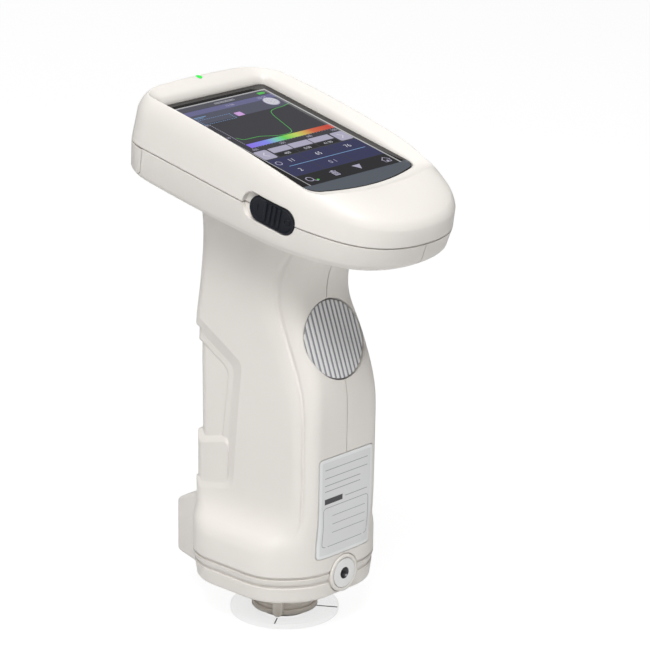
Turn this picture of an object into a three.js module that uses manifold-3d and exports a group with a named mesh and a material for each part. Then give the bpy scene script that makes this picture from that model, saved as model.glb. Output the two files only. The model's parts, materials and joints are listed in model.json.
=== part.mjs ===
// Portable color spectrometer: a slanted display head on an upright grip that stands on its measuring port.
// Millimetres, +Z up. The user faces -Y, the power switch is on -X, and the measuring axis is vertical.
import * as THREE from 'three';
import { mergeVertices } from 'three/addons/utils/BufferGeometryUtils.js';
import Module from 'manifold-3d';

const wasm = await Module();
wasm.setup();

// Fits and walls that every piece shares
const gap = 0.3;
const wall = 2.4;
const overrun = 2;
const far = 300;

// Display head: its own frame lies in the screen, v towards the rear and w out of the screen
const screenTilt = THREE.MathUtils.degToRad(12.26);
const screenSetback = 1.2;
const screenHeight = 193.2;
const headTaperStart = 24;
const headRearBow = 1.2;
const headRearCorner = 13;
const headCornerShare = 0.55;
const headSteps = [6, 4, 3, 4, 1];

// Heights over the screen at the rear, the middle and the nose of the head
const partingLevel = [-14.2, -12.8, -11.3];
const bandLevel = [-1.3, -2, -4.9];
const crestLevel = [5, 6.2, -2.4];
const crownLevel = [5.6, 7, -1.2];
const lowerBandLevel = [-24.4, -23.4, -18];
const bandInset = 0.4;
const bevelInset = 1.5;
const bevelShare = 0.55;
const crestInset = 3;
const crownInset = 9;
const lowerBandInset = 0.9;
const lowerBevelInset = 4.6;
const lowerBevelDrop = 3.5;
const partingGap = 0.5;
const roofLevel = -2.3;
const roofDrop = 2;

// Display, cover glass and head: each is its neighbour's size with a border round it
const activeHalfWidth = 24.48;
const activeHalfLength = 36.72;
const activeBorder = 0.8;
const glassBorder = 4.32;
const glassRearBorder = 5.38;
const glassChinBorder = 4.08;
const glassChinRise = 4.1;
const rimWidth = 8.2;
const rimRear = 11.5;
const chinLength = 30.6;
const glassHalfWidth = activeHalfWidth + glassBorder;
const glassRear = activeHalfLength + glassRearBorder;
const glassNoseSide = activeHalfLength + glassChinBorder;
const glassNoseMiddle = glassNoseSide + glassChinRise;
const headHalfWidth = glassHalfWidth + rimWidth;
const headRear = glassRear + rimRear;
const headNose = glassNoseMiddle + chinLength;

// Cover glass and the dish that leads down to it
const glassCorner = 5;
const glassRearCorner = 3.4;
const glassBulgeShare = 0.8;
const glassSteps = 4;
const glassThickness = 0.8;
const glassTop = 0.45;
const dishShoulderGrow = 1.9;
const dishRearGrow = 3.5;
const dishShoulderLevel = [4, 3.9, 1];
const dishRunOut = 9;
const dishRise = 5;

// Grip and base: widths, depths and heights over the surface that the instrument stands on
const baseBottom = 16;
const baseHalfWidth = 32;
const baseFront = 31.6;
const baseRear = 32.5;
const baseFlat = 17;
const baseFrontChamfer = 13.5;
const baseRearChamfer = 13;
const baseTop = 36;
const gripTop = 164;
const gripReach = 20;
const sectionCutShare = 0.45;
const sectionSteps = 2;
const boreSteps = 8;
const smallSteps = 12;
const innerSteps = 16;
const turnedSteps = 24;
const largeSteps = 32;
const flatFollowShare = 0.5;
const bottomEdge = 1.6;
const bottomEdgeShare = 0.33;
const bottomTaper = 1;
const grooveDepth = 0.7;
const grooveEdge = 0.15;
const upperGrooveTop = 27.3;
const upperGrooveHeight = 1.3;
const lowerGrooveTop = 24;
const lowerGrooveHeight = 1.7;

// Stations of the grip between base top (0) and head underside (1): height share, then the shares of
// base front, base rear, base half width, front flat, front chamfer and rear chamfer
const gripStationShares = [
  [0, 1, 1, 1, 1, 1, 1],
  [0.03, 1.004, 0.998, 0.94, 0.99, 0.95, 0.87],
  [0.06, 1.01, 0.996, 0.81, 0.99, 0.82, 0.66],
  [0.09, 1.013, 0.995, 0.725, 1, 0.67, 0.46],
  [0.14, 1.013, 0.995, 0.678, 1.02, 0.57, 0.33],
  [0.34, 1.018, 0.997, 0.67, 1.03, 0.56, 0.3],
  [0.46, 1.018, 1.012, 0.66, 1.03, 0.63, 0.3],
  [0.545, 0.965, 1.026, 0.65, 1.01, 0.78, 0.3],
  [0.65, 0.812, 1.026, 0.64, 1, 0.93, 0.32],
  [0.75, 0.664, 0.992, 0.628, 0.91, 1.07, 0.35],
  [0.82, 0.66, 0.962, 0.625, 0.88, 1.15, 0.35],
  [0.89, 0.76, 0.93, 0.635, 0.86, 1.2, 0.35],
  [0.95, 0.96, 0.905, 0.66, 0.86, 1.3, 0.35],
  [1, 1.2, 0.885, 0.7, 0.88, 1.4, 0.35],
];
const gripRingShares = [
  0, 0.02, 0.04, 0.065, 0.1, 0.15, 0.36, 0.46, 0.52, 0.58, 0.66, 0.73, 0.78, 0.84, 0.9, 1,
];
const coreRingShares = [0, 0.06, 0.15, 0.46, 0.6, 0.75, 0.87, 1];

// Recess that wraps round the rear of the grip, with a step in its wall and a block in its lower part
const recessFront = 4;
const recessRear = 33;
const recessTopFront = 106.8;
const recessTopRear = 123;
const recessBottomFront = 55.6;
const recessBottomRear = 48.7;
const recessLean = 4.2;
const recessDepth = 1.9;
const recessStepDepth = 1.3;
const recessLedgeDepth = 1;
const recessWidth = 8.8;
const recessStepWidth = 5.4;
const recessLedgeWidth = 4.2;
const recessCorner = 3.5;
const blockFront = 11.5;
const blockTopFront = 73;
const blockTopRear = 67;
const blockRise = 1.35;
const blockSlope = 2.6;

// Rear box at the foot of the grip
const rearBoxHalfWidth = 14;
const rearBoxRootHalfWidth = 21;
const rearBoxRoot = 22;
const rearBoxRear = 47.5;
const rearBoxTop = 38;
const rearBoxRise = 12;
const rearBoxBottom = 15.6;
const rearBoxCorner = 3;
const rearBoxEdge = 1.6;

// Rear cap of the head and the charging socket behind it
const capLength = 15.1;
const capStart = headRear - capLength;
const capCornerLevel = -24;
const capSlopeRun = 7;
const capSlopeDrop = 6;
const capDrop = 0.4;
const portHalfWidth = 6;
const portHalfHeight = 2.9;
const portCorner = 1.6;
const portLevel = -19;
const socketHalfWidth = 4.5;
const socketHeight = 3.3;
const socketLength = 8;
const socketWall = 0.5;
const socketCorner = 1.2;
const tongueThickness = 0.7;
const tongueInset = 0.8;
const portBoardHalfWidth = 11;
const portBoardLength = 19;
const boardThickness = 1.4;
const portPostRadius = 2.6;
const portPostAside = 8;
const portPostBehind = 19.6;

// Power switch on the -X side of the head, in a frame that follows the flank
const sliderPlace = 30.2;
const sliderSink = 0.9;
const sliderFace = headHalfWidth - sliderSink;
const sliderYaw = THREE.MathUtils.degToRad(3);
const sliderLevel = -12;
const sliderHalfLength = 11;
const sliderHalfHeight = 5.1;
const sliderThickness = 1.4;
const sliderTravel = 3.3;
const sliderRibs = 4;
const sliderRibPitch = 1.9;
const sliderRibWidth = 0.8;
const sliderRibHeight = 0.35;
const sliderRibReachShare = 0.7;
const padThickness = 1.6;
const padBorder = 2.5;
const neckHalfLength = 2.2;
const neckHalfHeight = 1.6;
const catchHalfLength = 4;
const catchHalfHeight = 3.4;
const catchThickness = 1.2;
const prongReach = 3;
const prongWidth = 1.2;
const knobHalfLength = 1;
const knobHalfHeight = 0.8;
const knobReach = 3.2;
const knobSeat = 1.2;
const switchHalfLength = 6;
const switchDepth = 6;

// Measuring button on the sloping front of the grip
const buttonHeight = 119;
const buttonFace = 25.5;
const buttonSlope = THREE.MathUtils.degToRad(20.5);
const buttonRadius = 15.5;
const buttonCapDepth = 5.2;
const buttonCrown = 1;
const buttonRibs = 14;
const buttonRibShare = 0.55;
const buttonRibHeight = 0.6;
const buttonTravel = 1;
const buttonCollarWall = 1.8;
const buttonLugHalfWidth = 4;
const buttonLugReach = 1.6;
const buttonLugThickness = 1;
const stemRadius = 3;
const stemLength = 7;
const guideHalfWidth = 9;
const guideHalfLength = 21.5;
const guideThickness = 1.8;
const guideLegThickness = 1.6;
const guideLegHalfLength = 7;
const guidePadLength = 4;
const buttonBoardHalfLength = 8;
const tactHalfWidth = 3;
const tactHeight = 3;
const plungerRadius = 1.4;
const plungerLength = 2.2;
const plungerDip = 0.8;

// Label on the lower front and the threaded mounting insert below it
const labelHalfWidth = 14.8;
const labelBottom = 33.6;
const labelTop = 74.5;
const labelCorner = 1.5;
const labelThickness = 0.45;
const labelProud = 0.1;
const insertHeight = 24.6;
const collarRadius = 7.6;
const collarProud = 0.5;
const insertRadius = 6;
const insertLength = 9;
const insertBoreRadius = 2;
const insertBoreDepth = 7.5;
const insertEdge = 0.4;

// Measuring port under the base, and the clear disc on a swivel ring that the instrument stands on
const snoutRadius = 12;
const snoutFlangeRadius = 17;
const snoutFlangeThickness = 1.5;
const snoutSeatRadius = 8.4;
const snoutSeatDepth = 4;
const snoutBoreRadius = 6.5;
const apertureRadius = 4;
const noseRadius = 9.5;
const noseLift = 0.2;
const noseEdge = 0.6;
const discRadius = 21.65;
const discHoleRadius = 10;
const discThickness = 2.2;
const discEdge = 0.3;
const ringWidth = 0.8;
const ringHeight = 2;
const legAngle = THREE.MathUtils.degToRad(57);
const legWidth = 4;
const legDepth = 3.6;
const legTop = 14.4;

// Integrating sphere, lamps and spectrometer in the grip
const sphereWidthShare = 0.5625;
const sphereRadius = baseHalfWidth * sphereWidthShare;
const sphereWall = 1.5;
const sphereFlangeReach = 4;
const sphereFlangeRadius = sphereRadius + sphereFlangeReach;
const sphereFlangeThickness = 1.4;
const sphereNeckRadius = 8;
const sphereNeckLength = 2.2;
const sphereLowerPort = 5;
const sphereUpperPort = 4;
const sphereArcSteps = 5;
const shelfThickness = 1.6;
const shelfBearing = 1.6;
const lampBoardRadius = 14.5;
const lamps = 6;
const lampCircle = 9;
const lampRadius = 1.8;
const lampLength = 3.4;
const waistWidthShare = 0.625;
const innerClearance = 2.6;
const innerHalfWidth = baseHalfWidth * waistWidthShare - wall - innerClearance;
const benchHalfWidth = innerHalfWidth;
const benchFront = 20;
const benchRear = 22;
const benchHeight = 21;
const benchWall = 1.5;
const benchCorner = 3;
const slitRadius = 2.5;
const gratingHalfWidth = 6;
const gratingFoot = 7;
const gratingHead = 3;
const gratingHeight = 14;
const detectorInset = 2.5;
const detectorHalfWidth = benchHalfWidth - benchWall - detectorInset;
const detectorHeight = 16;
const chipInset = 3;
const chipHalfWidth = detectorHalfWidth - chipInset;
const chipHeight = 5;
const chipThickness = 1.6;
const ribThickness = 1.4;
const benchRibShare = 0.5;

// Battery pack and main board
const batteryHalfWidth = innerHalfWidth;
const batteryFront = 3;
const batteryRear = 24;
const batteryBottom = 95;
const batteryTop = 152;
const batteryCorner = 4;
const batteryRim = 3;
const ribBar = 3.5;
const batteryRibShare = 0.7;
const displaySideBorder = 2.82;
const displayEndBorder = 4.28;
const displayHalfWidth = activeHalfWidth + displaySideBorder;
const displayHalfLength = activeHalfLength + displayEndBorder;
const displaySlack = 0.6;
const displayDepth = 2.8;
const displayCorner = 1.5;
const standoffRadius = 2.4;
const standoffInset = 8.3;
const standoffClearance = 3.3;
const standoffAside = displayHalfWidth - standoffInset;
const standoffAlong = displayHalfLength + standoffClearance;
const standoffRoot = -1.5;
const standoffPlaces = [
  [-standoffAside, standoffAlong], [standoffAside, standoffAlong],
  [-standoffAside, -standoffAlong], [standoffAside, -standoffAlong],
];
const boardBorder = 2.52;
const boardRearMargin = 1.7;
const boardNoseMargin = 2.7;
const boardHalfWidth = activeHalfWidth + boardBorder;
const boardRear = standoffAlong + boardRearMargin;
const boardNose = standoffAlong + boardNoseMargin;
const boardTop = -8.8;
const boardCorner = 2;
const boardTongueHalfWidth = 6;
const boardTongueLength = 4;
const processorHalf = 7;
const processorHeight = 1.4;
const processorPlace = [8, 14];
const shieldHalf = 9;
const shieldHeight = 2;
const shieldPlace = [-8, -14];
const lightRadius = 1.5;
const lightProud = 0.15;
const lightBehindGlass = 7.7;
const lightPlace = glassRear + lightBehindGlass;

// Self-tapping screws and the bosses that they pull together; places in depth and height, or across and
// along the screen
const screwHeadRadius = 2.4;
const screwHeadHeight = 1.6;
const screwRadius = 1.2;
const bossRadius = 3.3;
const pilotSpare = 0.5;
const shellScrewSeat = 7;
const shellScrewLength = 17;
const footScrewPlace = [26, 44.5];
const frontScrewDepth = -19;
const frontScrewDrop = 5.5;
const rearScrewPlace = [27, 89.4];
const neckScrewPlace = [-9, 153];
const headScrewSeat = -20.5;
const headScrewLength = 12;
const headScrewSideInset = 5.7;
const headScrewRearInset = 20.6;
const headScrewNoseInset = 20.5;
const noseScrewShare = 0.54;
const rearScrewAside = headHalfWidth - headScrewSideInset;
const noseScrewAside = headHalfWidth * noseScrewShare;
const headScrewPlaces = [
  [-rearScrewAside, headRear - headScrewRearInset], [rearScrewAside, headRear - headScrewRearInset],
  [-noseScrewAside, headScrewNoseInset - headNose], [noseScrewAside, headScrewNoseInset - headNose],
];
const boardScrewLength = 5.5;
const boardScrewSeat = boardTop - boardThickness - gap;

// Looks of the pieces
const ivory = { color: 0xe9e7e0, roughness: 0.45, metalness: 0 };
const blackPlastic = { color: 0x14161a, roughness: 0.5, metalness: 0 };
const darkGlass = { color: 0x2a2d33, roughness: 0.08, metalness: 0 };
const greyPlastic = { color: 0xa9a9b2, roughness: 0.5, metalness: 0 };
const portGrey = { color: 0xa39c93, roughness: 0.5, metalness: 0 };
const clearPlastic = { color: 0xdfe6ea, roughness: 0.05, metalness: 0 };
const steel = { color: 0xc9cacb, roughness: 0.3, metalness: 1 };
const boardGreen = { color: 0x1f5a3c, roughness: 0.5, metalness: 0 };
const batteryBlue = { color: 0x2f5f9e, roughness: 0.4, metalness: 0 };
const coatingWhite = { color: 0xf5f5f3, roughness: 0.9, metalness: 0 };
const signalGreen = { color: 0x2fe04a, roughness: 0.2, metalness: 0 };
const labelPaper = { color: 0xc9d3df, roughness: 0.5, metalness: 0 };

// A closed geometry becomes a solid: shared vertices are merged and collapsed triangles dropped
function solid(geometry) {
  const shape = geometry.clone();
  shape.deleteAttribute('normal');
  shape.deleteAttribute('uv');
  const merged = mergeVertices(shape);
  const index = merged.index.array;
  const triangles = [];
  for (let i = 0; i < index.length; i += 3) {
    const [a, b, c] = [index[i], index[i + 1], index[i + 2]];
    if (a !== b && b !== c && c !== a) triangles.push(a, b, c);
  }
  return new wasm.Manifold(new wasm.Mesh({
    numProp: 3,
    vertProperties: Float32Array.from(merged.attributes.position.array),
    triVerts: Uint32Array.from(triangles),
  }));
}

function geometryOf(body) {
  const mesh = body.getMesh();
  const geometry = new THREE.BufferGeometry();
  geometry.setAttribute('position', new THREE.BufferAttribute(Float32Array.from(mesh.vertProperties), 3));
  geometry.setIndex(new THREE.BufferAttribute(Uint32Array.from(mesh.triVerts), 1));
  geometry.computeVertexNormals();
  return geometry;
}

// Rings run counter-clockwise seen from above and are stacked upwards; both ends close on their middle
function loft(rings) {
  const count = rings[0].length;
  const points = rings.flat();
  const faces = [];
  for (let level = 1; level < rings.length; level += 1) {
    for (let i = 0; i < count; i += 1) {
      const next = (i + 1) % count;
      const [below, above] = [(level - 1) * count, level * count];
      faces.push(below + i, below + next, above + next, below + i, above + next, above + i);
    }
  }
  const last = (rings.length - 1) * count;
  const [bottom, top] = [points.length, points.length + 1];
  points.push(middleOf(rings[0]), middleOf(rings[rings.length - 1]));
  for (let i = 0; i < count; i += 1) {
    const next = (i + 1) % count;
    faces.push(next, i, bottom, last + i, last + next, top);
  }
  const geometry = new THREE.BufferGeometry().setFromPoints(points);
  geometry.setIndex(faces);
  return geometry;
}

function middleOf(ring) {
  const sum = ring.reduce((total, point) => total.add(point), new THREE.Vector3());
  return sum.divideScalar(ring.length);
}

// A closed outline whose corners are rounded by curves that start a cut before each corner
function roundedLoop(corners, steps) {
  const count = corners.length;
  return corners.flatMap((corner, i) => {
    const point = new THREE.Vector2(corner.x, corner.y);
    const before = corners[(i + count - 1) % count];
    const after = corners[(i + 1) % count];
    const start = new THREE.Vector2(before.x, before.y).sub(point).setLength(corner.cut).add(point);
    const end = new THREE.Vector2(after.x, after.y).sub(point).setLength(corner.cut).add(point);
    return new THREE.QuadraticBezierCurve(start, point, end).getPoints(steps);
  });
}

function prism(outline, depth) {
  return new THREE.ExtrudeGeometry(new THREE.Shape(outline), { depth, bevelEnabled: false });
}

function block(x0, x1, y0, y1, z0, z1) {
  const geometry = new THREE.BoxGeometry(x1 - x0, y1 - y0, z1 - z0);
  return geometry.translate((x0 + x1) / 2, (y0 + y1) / 2, (z0 + z1) / 2);
}

// Matrix of the head's frame: origin in the middle of the screen, tilted down towards the user
const headFrame = new THREE.Matrix4().makeRotationX(screenTilt)
  .setPosition(0, screenSetback, screenHeight);

function inHead(geometry) {
  return solid(geometry.applyMatrix4(headFrame));
}

// Smooth height over the screen through its values at the rear, the middle and the nose
function levelAt(level, v) {
  const [rear, middle, nose] = level;
  const t = (headRear - headNose - 2 * v) / (headRear + headNose);
  return middle + ((nose - rear) / 2) * t + ((nose + rear) / 2 - middle) * t * t;
}

// Half of the head's outline, from the nose round to the rear, as shares of half width and taper length
const noseHandleShare = 0.48;
const noseCornerShares = [0.71, 0.845];
const flankShares = [0.82, 0.66];
const flankHandleShares = [0.914, 0.505];
const sideHandleShare = 0.272;

function headOutline(inset) {
  const half = headHalfWidth - inset;
  const nose = headNose - inset;
  const rear = headRear - inset;
  const taper = nose - headTaperStart;
  const at = (x, y) => new THREE.Vector2(half * x, -headTaperStart - taper * y);
  const side = new THREE.Vector2(half, -headTaperStart);
  const cornerStart = new THREE.Vector2(half, rear - headRearBow - headRearCorner);
  const cornerEnd = new THREE.Vector2(half - headRearCorner, rear - headRearBow);
  const noseCurve = new THREE.CubicBezierCurve(
    at(0, 1), at(noseHandleShare, 1), at(...noseCornerShares), at(...flankShares),
  );
  const flankCurve = new THREE.CubicBezierCurve(
    at(...flankShares), at(...flankHandleShares), at(1, sideHandleShare), side,
  );
  const sideLine = new THREE.LineCurve(side, cornerStart);
  const corner = new THREE.CubicBezierCurve(
    cornerStart,
    cornerStart.clone().lerp(new THREE.Vector2(half, rear - headRearBow), headCornerShare),
    cornerEnd.clone().lerp(new THREE.Vector2(half, rear - headRearBow), headCornerShare),
    cornerEnd,
  );
  const rearCurve = new THREE.QuadraticBezierCurve(
    cornerEnd, new THREE.Vector2((half - headRearCorner) / 2, rear), new THREE.Vector2(0, rear),
  );
  const right = [noseCurve, flankCurve, sideLine, corner, rearCurve]
    .flatMap((curve, i) => curve.getPoints(headSteps[i]).slice(0, -1));
  const left = right.slice(1).reverse().map((point) => new THREE.Vector2(-point.x, point.y));
  return [...right, new THREE.Vector2(0, rear), ...left];
}

function headRing(inset, level, lift = 0) {
  return headOutline(inset).map((point) => (
    new THREE.Vector3(point.x, point.y, levelAt(level, point.y) + lift)
  ));
}

function between(low, high, share) {
  return low.map((value, i) => value + (high[i] - value) * share);
}

// Outline of the cover glass, grown sideways and rearwards to make the dish around it
function glassRing(grow, rearGrow, heightAt) {
  const half = glassHalfWidth + grow;
  const side = glassNoseSide + grow;
  const middle = glassNoseMiddle + grow;
  const rear = glassRear + rearGrow;
  const corners = [
    { x: -half, y: -side, cut: glassCorner },
    { x: 0, y: -(2 * middle - side), cut: half * glassBulgeShare },
    { x: half, y: -side, cut: glassCorner },
    { x: half, y: rear, cut: glassRearCorner + rearGrow },
    { x: -half, y: rear, cut: glassRearCorner + rearGrow },
  ];
  return roundedLoop(corners, glassSteps)
    .map((point) => new THREE.Vector3(point.x, point.y, heightAt(point.y)));
}

function dishHeight(v) {
  const [rear, middle, nose] = dishShoulderLevel;
  const t = -v / glassRear;
  return middle + ((nose - rear) / 2) * t + ((nose + rear) / 2 - middle) * t * t;
}

const roof = [roofLevel, roofLevel, roofLevel - roofDrop];
const glassBottom = glassTop - glassThickness;
const seatLevel = glassBottom - gap;

function upperHead() {
  return inHead(loft([
    headRing(0, partingLevel, partingGap / 2),
    headRing(bandInset, bandLevel),
    headRing(bevelInset, between(bandLevel, crestLevel, bevelShare)),
    headRing(crestInset, crestLevel),
    headRing(crownInset, crownLevel),
  ]));
}

const windowHalfWidth = activeHalfWidth + activeBorder;
const windowHalfLength = activeHalfLength + activeBorder;

function topShell() {
  const outer = upperHead();
  const inner = loft([
    headRing(wall, partingLevel, -overrun),
    headRing(wall + bandInset, bandLevel, -overrun),
    headRing(wall + crestInset, roof),
  ]);
  const dish = loft([
    glassRing(gap, gap, () => seatLevel),
    glassRing(gap, gap, () => glassTop),
    glassRing(dishShoulderGrow, dishRearGrow, dishHeight),
    glassRing(dishRunOut, dishRunOut + dishRearGrow, (v) => dishHeight(v) + dishRise),
    glassRing(dishRunOut, dishRunOut + dishRearGrow, (v) => dishHeight(v) + dishRise + overrun),
  ]);
  const window = block(-windowHalfWidth, windowHalfWidth, -windowHalfLength, windowHalfLength,
    roofLevel - overrun, glassTop);
  const posts = headScrewPlaces.map(([x, v]) => (
    cylinder(bossRadius, levelAt(partingLevel, v) + partingGap / 2, roofLevel + overrun / 2)
      .translate(x, v, 0)
  ));
  const standoffs = standoffPlaces.map(([x, v]) => (
    cylinder(standoffRadius, boardTop + gap, standoffRoot).translate(x, v, 0)
  ));
  const features = union([...posts, ...standoffs].map(inHead)).add(switchPad(partingGap / 2, far));
  const pilots = headScrewPlaces.map(([x, v]) => (
    cylinder(screwRadius + gap, -far, headScrewSeat + headScrewLength + pilotSpare).translate(x, v, 0)
  ));
  const boardPilots = standoffPlaces.map(([x, v]) => (
    cylinder(screwRadius + gap, -far, boardScrewSeat + boardScrewLength + pilotSpare).translate(x, v, 0)
  ));
  const lightBore = cylinder(lightRadius + gap, -far, far).translate(0, lightPlace, 0);
  const cuts = [dish, window, lightBore, ...pilots, ...boardPilots].map(inHead);
  return [...cuts, switchCut()].reduce((total, cutter) => total.subtract(cutter),
    outer.subtract(inHead(inner)).add(features));
}

// Sizes of the grip's section at a height share, smoothly between the stations
function stationAt(share) {
  const rows = gripStationShares;
  let k = rows.findIndex((row) => row[0] >= share);
  k = Math.max(k, 1);
  const t = (share - rows[k - 1][0]) / (rows[k][0] - rows[k - 1][0]);
  const before = rows[Math.max(k - 2, 0)];
  const after = rows[Math.min(k + 1, rows.length - 1)];
  return rows[k].map((value, i) => {
    const [p0, p1] = [rows[k - 1], rows[k]];
    const m0 = slope(before, p1, i, p1[0] - p0[0]);
    const m1 = slope(p0, after, i, p1[0] - p0[0]);
    return hermite(p0[i], p1[i], m0, m1, t);
  });
}

function slope(a, b, i, span) {
  return b[0] > a[0] ? ((b[i] - a[i]) / (b[0] - a[0])) * span : 0;
}

function hermite(a, b, m0, m1, t) {
  const [t2, t3] = [t * t, t * t * t];
  return (2 * t3 - 3 * t2 + 1) * a + (t3 - 2 * t2 + t) * m0 + (3 * t2 - 2 * t3) * b + (t3 - t2) * m1;
}

function sectionRing(z, share, inset) {
  const [, front, rear, width, flat, chamfer, rearChamfer] = stationAt(share);
  const half = baseHalfWidth * width - inset;
  const near = -(baseFront * front - inset);
  const back = baseRear * rear - inset;
  const flatHalf = baseFlat * flat - inset * flatFollowShare;
  const ridge = near + baseFrontChamfer * chamfer;
  const bevel = baseRearChamfer * rearChamfer;
  const frontCut = Math.hypot(half - flatHalf, ridge - near) * sectionCutShare;
  const rearCut = Math.hypot(bevel, bevel) * sectionCutShare;
  const right = [
    { x: flatHalf, y: near, cut: frontCut },
    { x: half, y: ridge, cut: frontCut },
    { x: half, y: back - bevel, cut: rearCut },
    { x: half - bevel, y: back, cut: rearCut },
  ];
  const left = right.map((corner) => ({ ...corner, x: -corner.x })).reverse();
  return roundedLoop([...right, ...left], sectionSteps)
    .map((point) => new THREE.Vector3(point.x, point.y, z));
}

function gripRings(inset, shares) {
  return shares.map((share) => sectionRing(baseTop + (gripTop - baseTop) * share, share, inset));
}

function baseRings() {
  const groove = (top, height, inset) => [
    [top - height, inset],
    [top - height + grooveEdge, inset + grooveDepth],
    [top - grooveEdge, inset + grooveDepth],
    [top, inset],
  ];
  const middle = bottomTaper / 2;
  return [
    [baseBottom, bottomTaper + bottomEdge],
    [baseBottom + bottomEdge * bottomEdgeShare, bottomTaper + bottomEdge * bottomEdgeShare],
    [baseBottom + bottomEdge, bottomTaper],
    ...groove(lowerGrooveTop, lowerGrooveHeight, middle),
    ...groove(upperGrooveTop, upperGrooveHeight, 0),
  ].map(([z, inset]) => sectionRing(z, 0, inset));
}

function lowerHead() {
  return inHead(loft([
    headRing(lowerBevelInset, lowerBandLevel, -lowerBevelDrop),
    headRing(lowerBandInset, lowerBandLevel),
    headRing(0, partingLevel, -partingGap / 2),
  ]));
}

// Side view of the recess, grown outwards, as an outline in depth and height that is open to the rear
function recessOutline(grow) {
  const length = recessRear - recessFront;
  const rise = (recessTopRear - recessTopFront) / length;
  const fall = (recessBottomFront - recessBottomRear) / length;
  const top = (y) => recessTopFront + rise * (y - recessFront) + grow * Math.hypot(1, rise);
  const bottom = (y) => recessBottomFront - fall * (y - recessFront) - grow * Math.hypot(1, fall);
  const front = recessFront - grow;
  const rear = recessRear + gripReach;
  return roundedLoop([
    { x: front + recessLean, y: bottom(front + recessLean), cut: recessCorner },
    { x: rear, y: bottom(rear), cut: recessCorner },
    { x: rear, y: top(rear), cut: recessCorner },
    { x: front, y: top(front), cut: recessCorner },
  ], sectionSteps);
}

// A prism across the width from an outline in depth and height
const depthUpAcross = new THREE.Matrix4().makeBasis(
  new THREE.Vector3(0, 1, 0), new THREE.Vector3(0, 0, 1), new THREE.Vector3(1, 0, 0),
);

function across(outline, from = -far, to = far) {
  return prism(outline, to - from).translate(0, 0, from).applyMatrix4(depthUpAcross);
}

function slab(outline, low, high) {
  return prism(outline, high - low).translate(0, 0, low);
}

function roundedBox(x0, x1, y0, y1, cut, steps = sectionSteps) {
  return roundedLoop([
    { x: x0, y: y0, cut }, { x: x1, y: y0, cut }, { x: x1, y: y1, cut }, { x: x0, y: y1, cut },
  ], steps);
}

function stadium(halfLength, radius) {
  const middle = halfLength - radius;
  const end = (x, from) => (
    new THREE.EllipseCurve(x, 0, radius, radius, from, from + Math.PI).getPoints(boreSteps)
  );
  return [...end(middle, -Math.PI / 2), ...end(-middle, Math.PI / 2)];
}

function cylinder(radius, low, high, steps = smallSteps) {
  const geometry = new THREE.CylinderGeometry(radius, radius, high - low, steps);
  return geometry.rotateX(Math.PI / 2).translate(0, 0, (high + low) / 2);
}

function cylinderAcross(radius, low, high, y, z) {
  return cylinder(radius, low, high).rotateY(Math.PI / 2).translate(0, y, z);
}

// A turned piece about the vertical axis; its closed profile of radius and height runs counter-clockwise
function turned(profile, steps = turnedSteps) {
  const closed = [...profile, profile[0]].map(([r, z]) => new THREE.Vector2(r, z));
  return new THREE.LatheGeometry(closed, steps).rotateX(Math.PI / 2);
}

function union(pieces) {
  return pieces.reduce((total, piece) => total.add(piece));
}

// Grip, rear box and lower half of the head, cut back by the wrapped recess
function gripLoft(inset, rings = [], shares = gripRingShares) {
  const top = sectionRing(gripTop, 1, inset);
  const over = top.map((point) => point.clone().setZ(gripTop + gripReach));
  return solid(loft([...rings, ...gripRings(inset, shares), over]));
}

function rearBoxLoft(inset) {
  const root = rearBoxRootHalfWidth - inset;
  const half = rearBoxHalfWidth - inset;
  const ring = (z, edge, rise) => roundedLoop([
    { x: -root + edge, y: rearBoxRoot, cut: rearBoxCorner },
    { x: root - edge, y: rearBoxRoot, cut: rearBoxCorner },
    { x: half - edge, y: rearBoxRear - inset - edge, cut: rearBoxCorner },
    { x: -half + edge, y: rearBoxRear - inset - edge, cut: rearBoxCorner },
  ], sectionSteps).map((point) => {
    const share = (rearBoxRear - point.y) / (rearBoxRear - rearBoxRoot);
    return new THREE.Vector3(point.x, point.y, z + rise * share);
  });
  const [low, high] = [rearBoxBottom + inset, rearBoxTop - inset];
  return solid(loft([
    ring(low, rearBoxEdge, 0), ring(low + rearBoxEdge, 0, 0),
    ring(high - rearBoxEdge, 0, rearBoxRise), ring(high, rearBoxEdge, rearBoxRise),
  ]));
}

const joinLevel = (partingLevel[1] + lowerBandLevel[1]) / 2;
const baseFloor = baseBottom + wall;

function outerBody() {
  const grip = gripLoft(0, baseRings()).subtract(inHead(block(-far, far, -far, far, joinLevel, far)));
  const slope = recessStepWidth / recessStepDepth;
  const sloped = loftAcross([
    [recessDepth, recessOutline(-recessWidth)], [recessStepDepth, recessOutline(-recessStepWidth)],
    [0, recessOutline(0)], [-overrun, recessOutline(overrun * slope)],
  ]).subtract(gripLoft(recessDepth));
  const ledge = solid(across(recessOutline(-recessLedgeWidth))).subtract(gripLoft(recessLedgeDepth));
  const floor = solid(across(recessOutline(-recessWidth))).subtract(gripLoft(recessDepth));
  const raised = loftAcross([
    [recessDepth, blockOutline(blockSlope)], [recessDepth - blockRise, blockOutline(0)],
    [-overrun, blockOutline(0)],
  ]).intersect(gripLoft(recessDepth - blockRise));
  const recess = union([sloped, ledge, floor]).subtract(raised);
  return grip.subtract(recess).add(rearBoxLoft(0)).add(lowerHead());
}

function blockOutline(grow) {
  const rear = recessRear + gripReach;
  const fall = (blockTopFront - blockTopRear) / (recessRear - blockFront);
  const top = (y) => blockTopFront - fall * (y - blockFront) + grow;
  return roundedLoop([
    { x: blockFront, y: -far, cut: recessCorner }, { x: rear, y: -far, cut: recessCorner },
    { x: rear, y: top(rear), cut: recessCorner }, { x: blockFront, y: top(blockFront), cut: recessCorner },
  ], sectionSteps);
}

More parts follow.
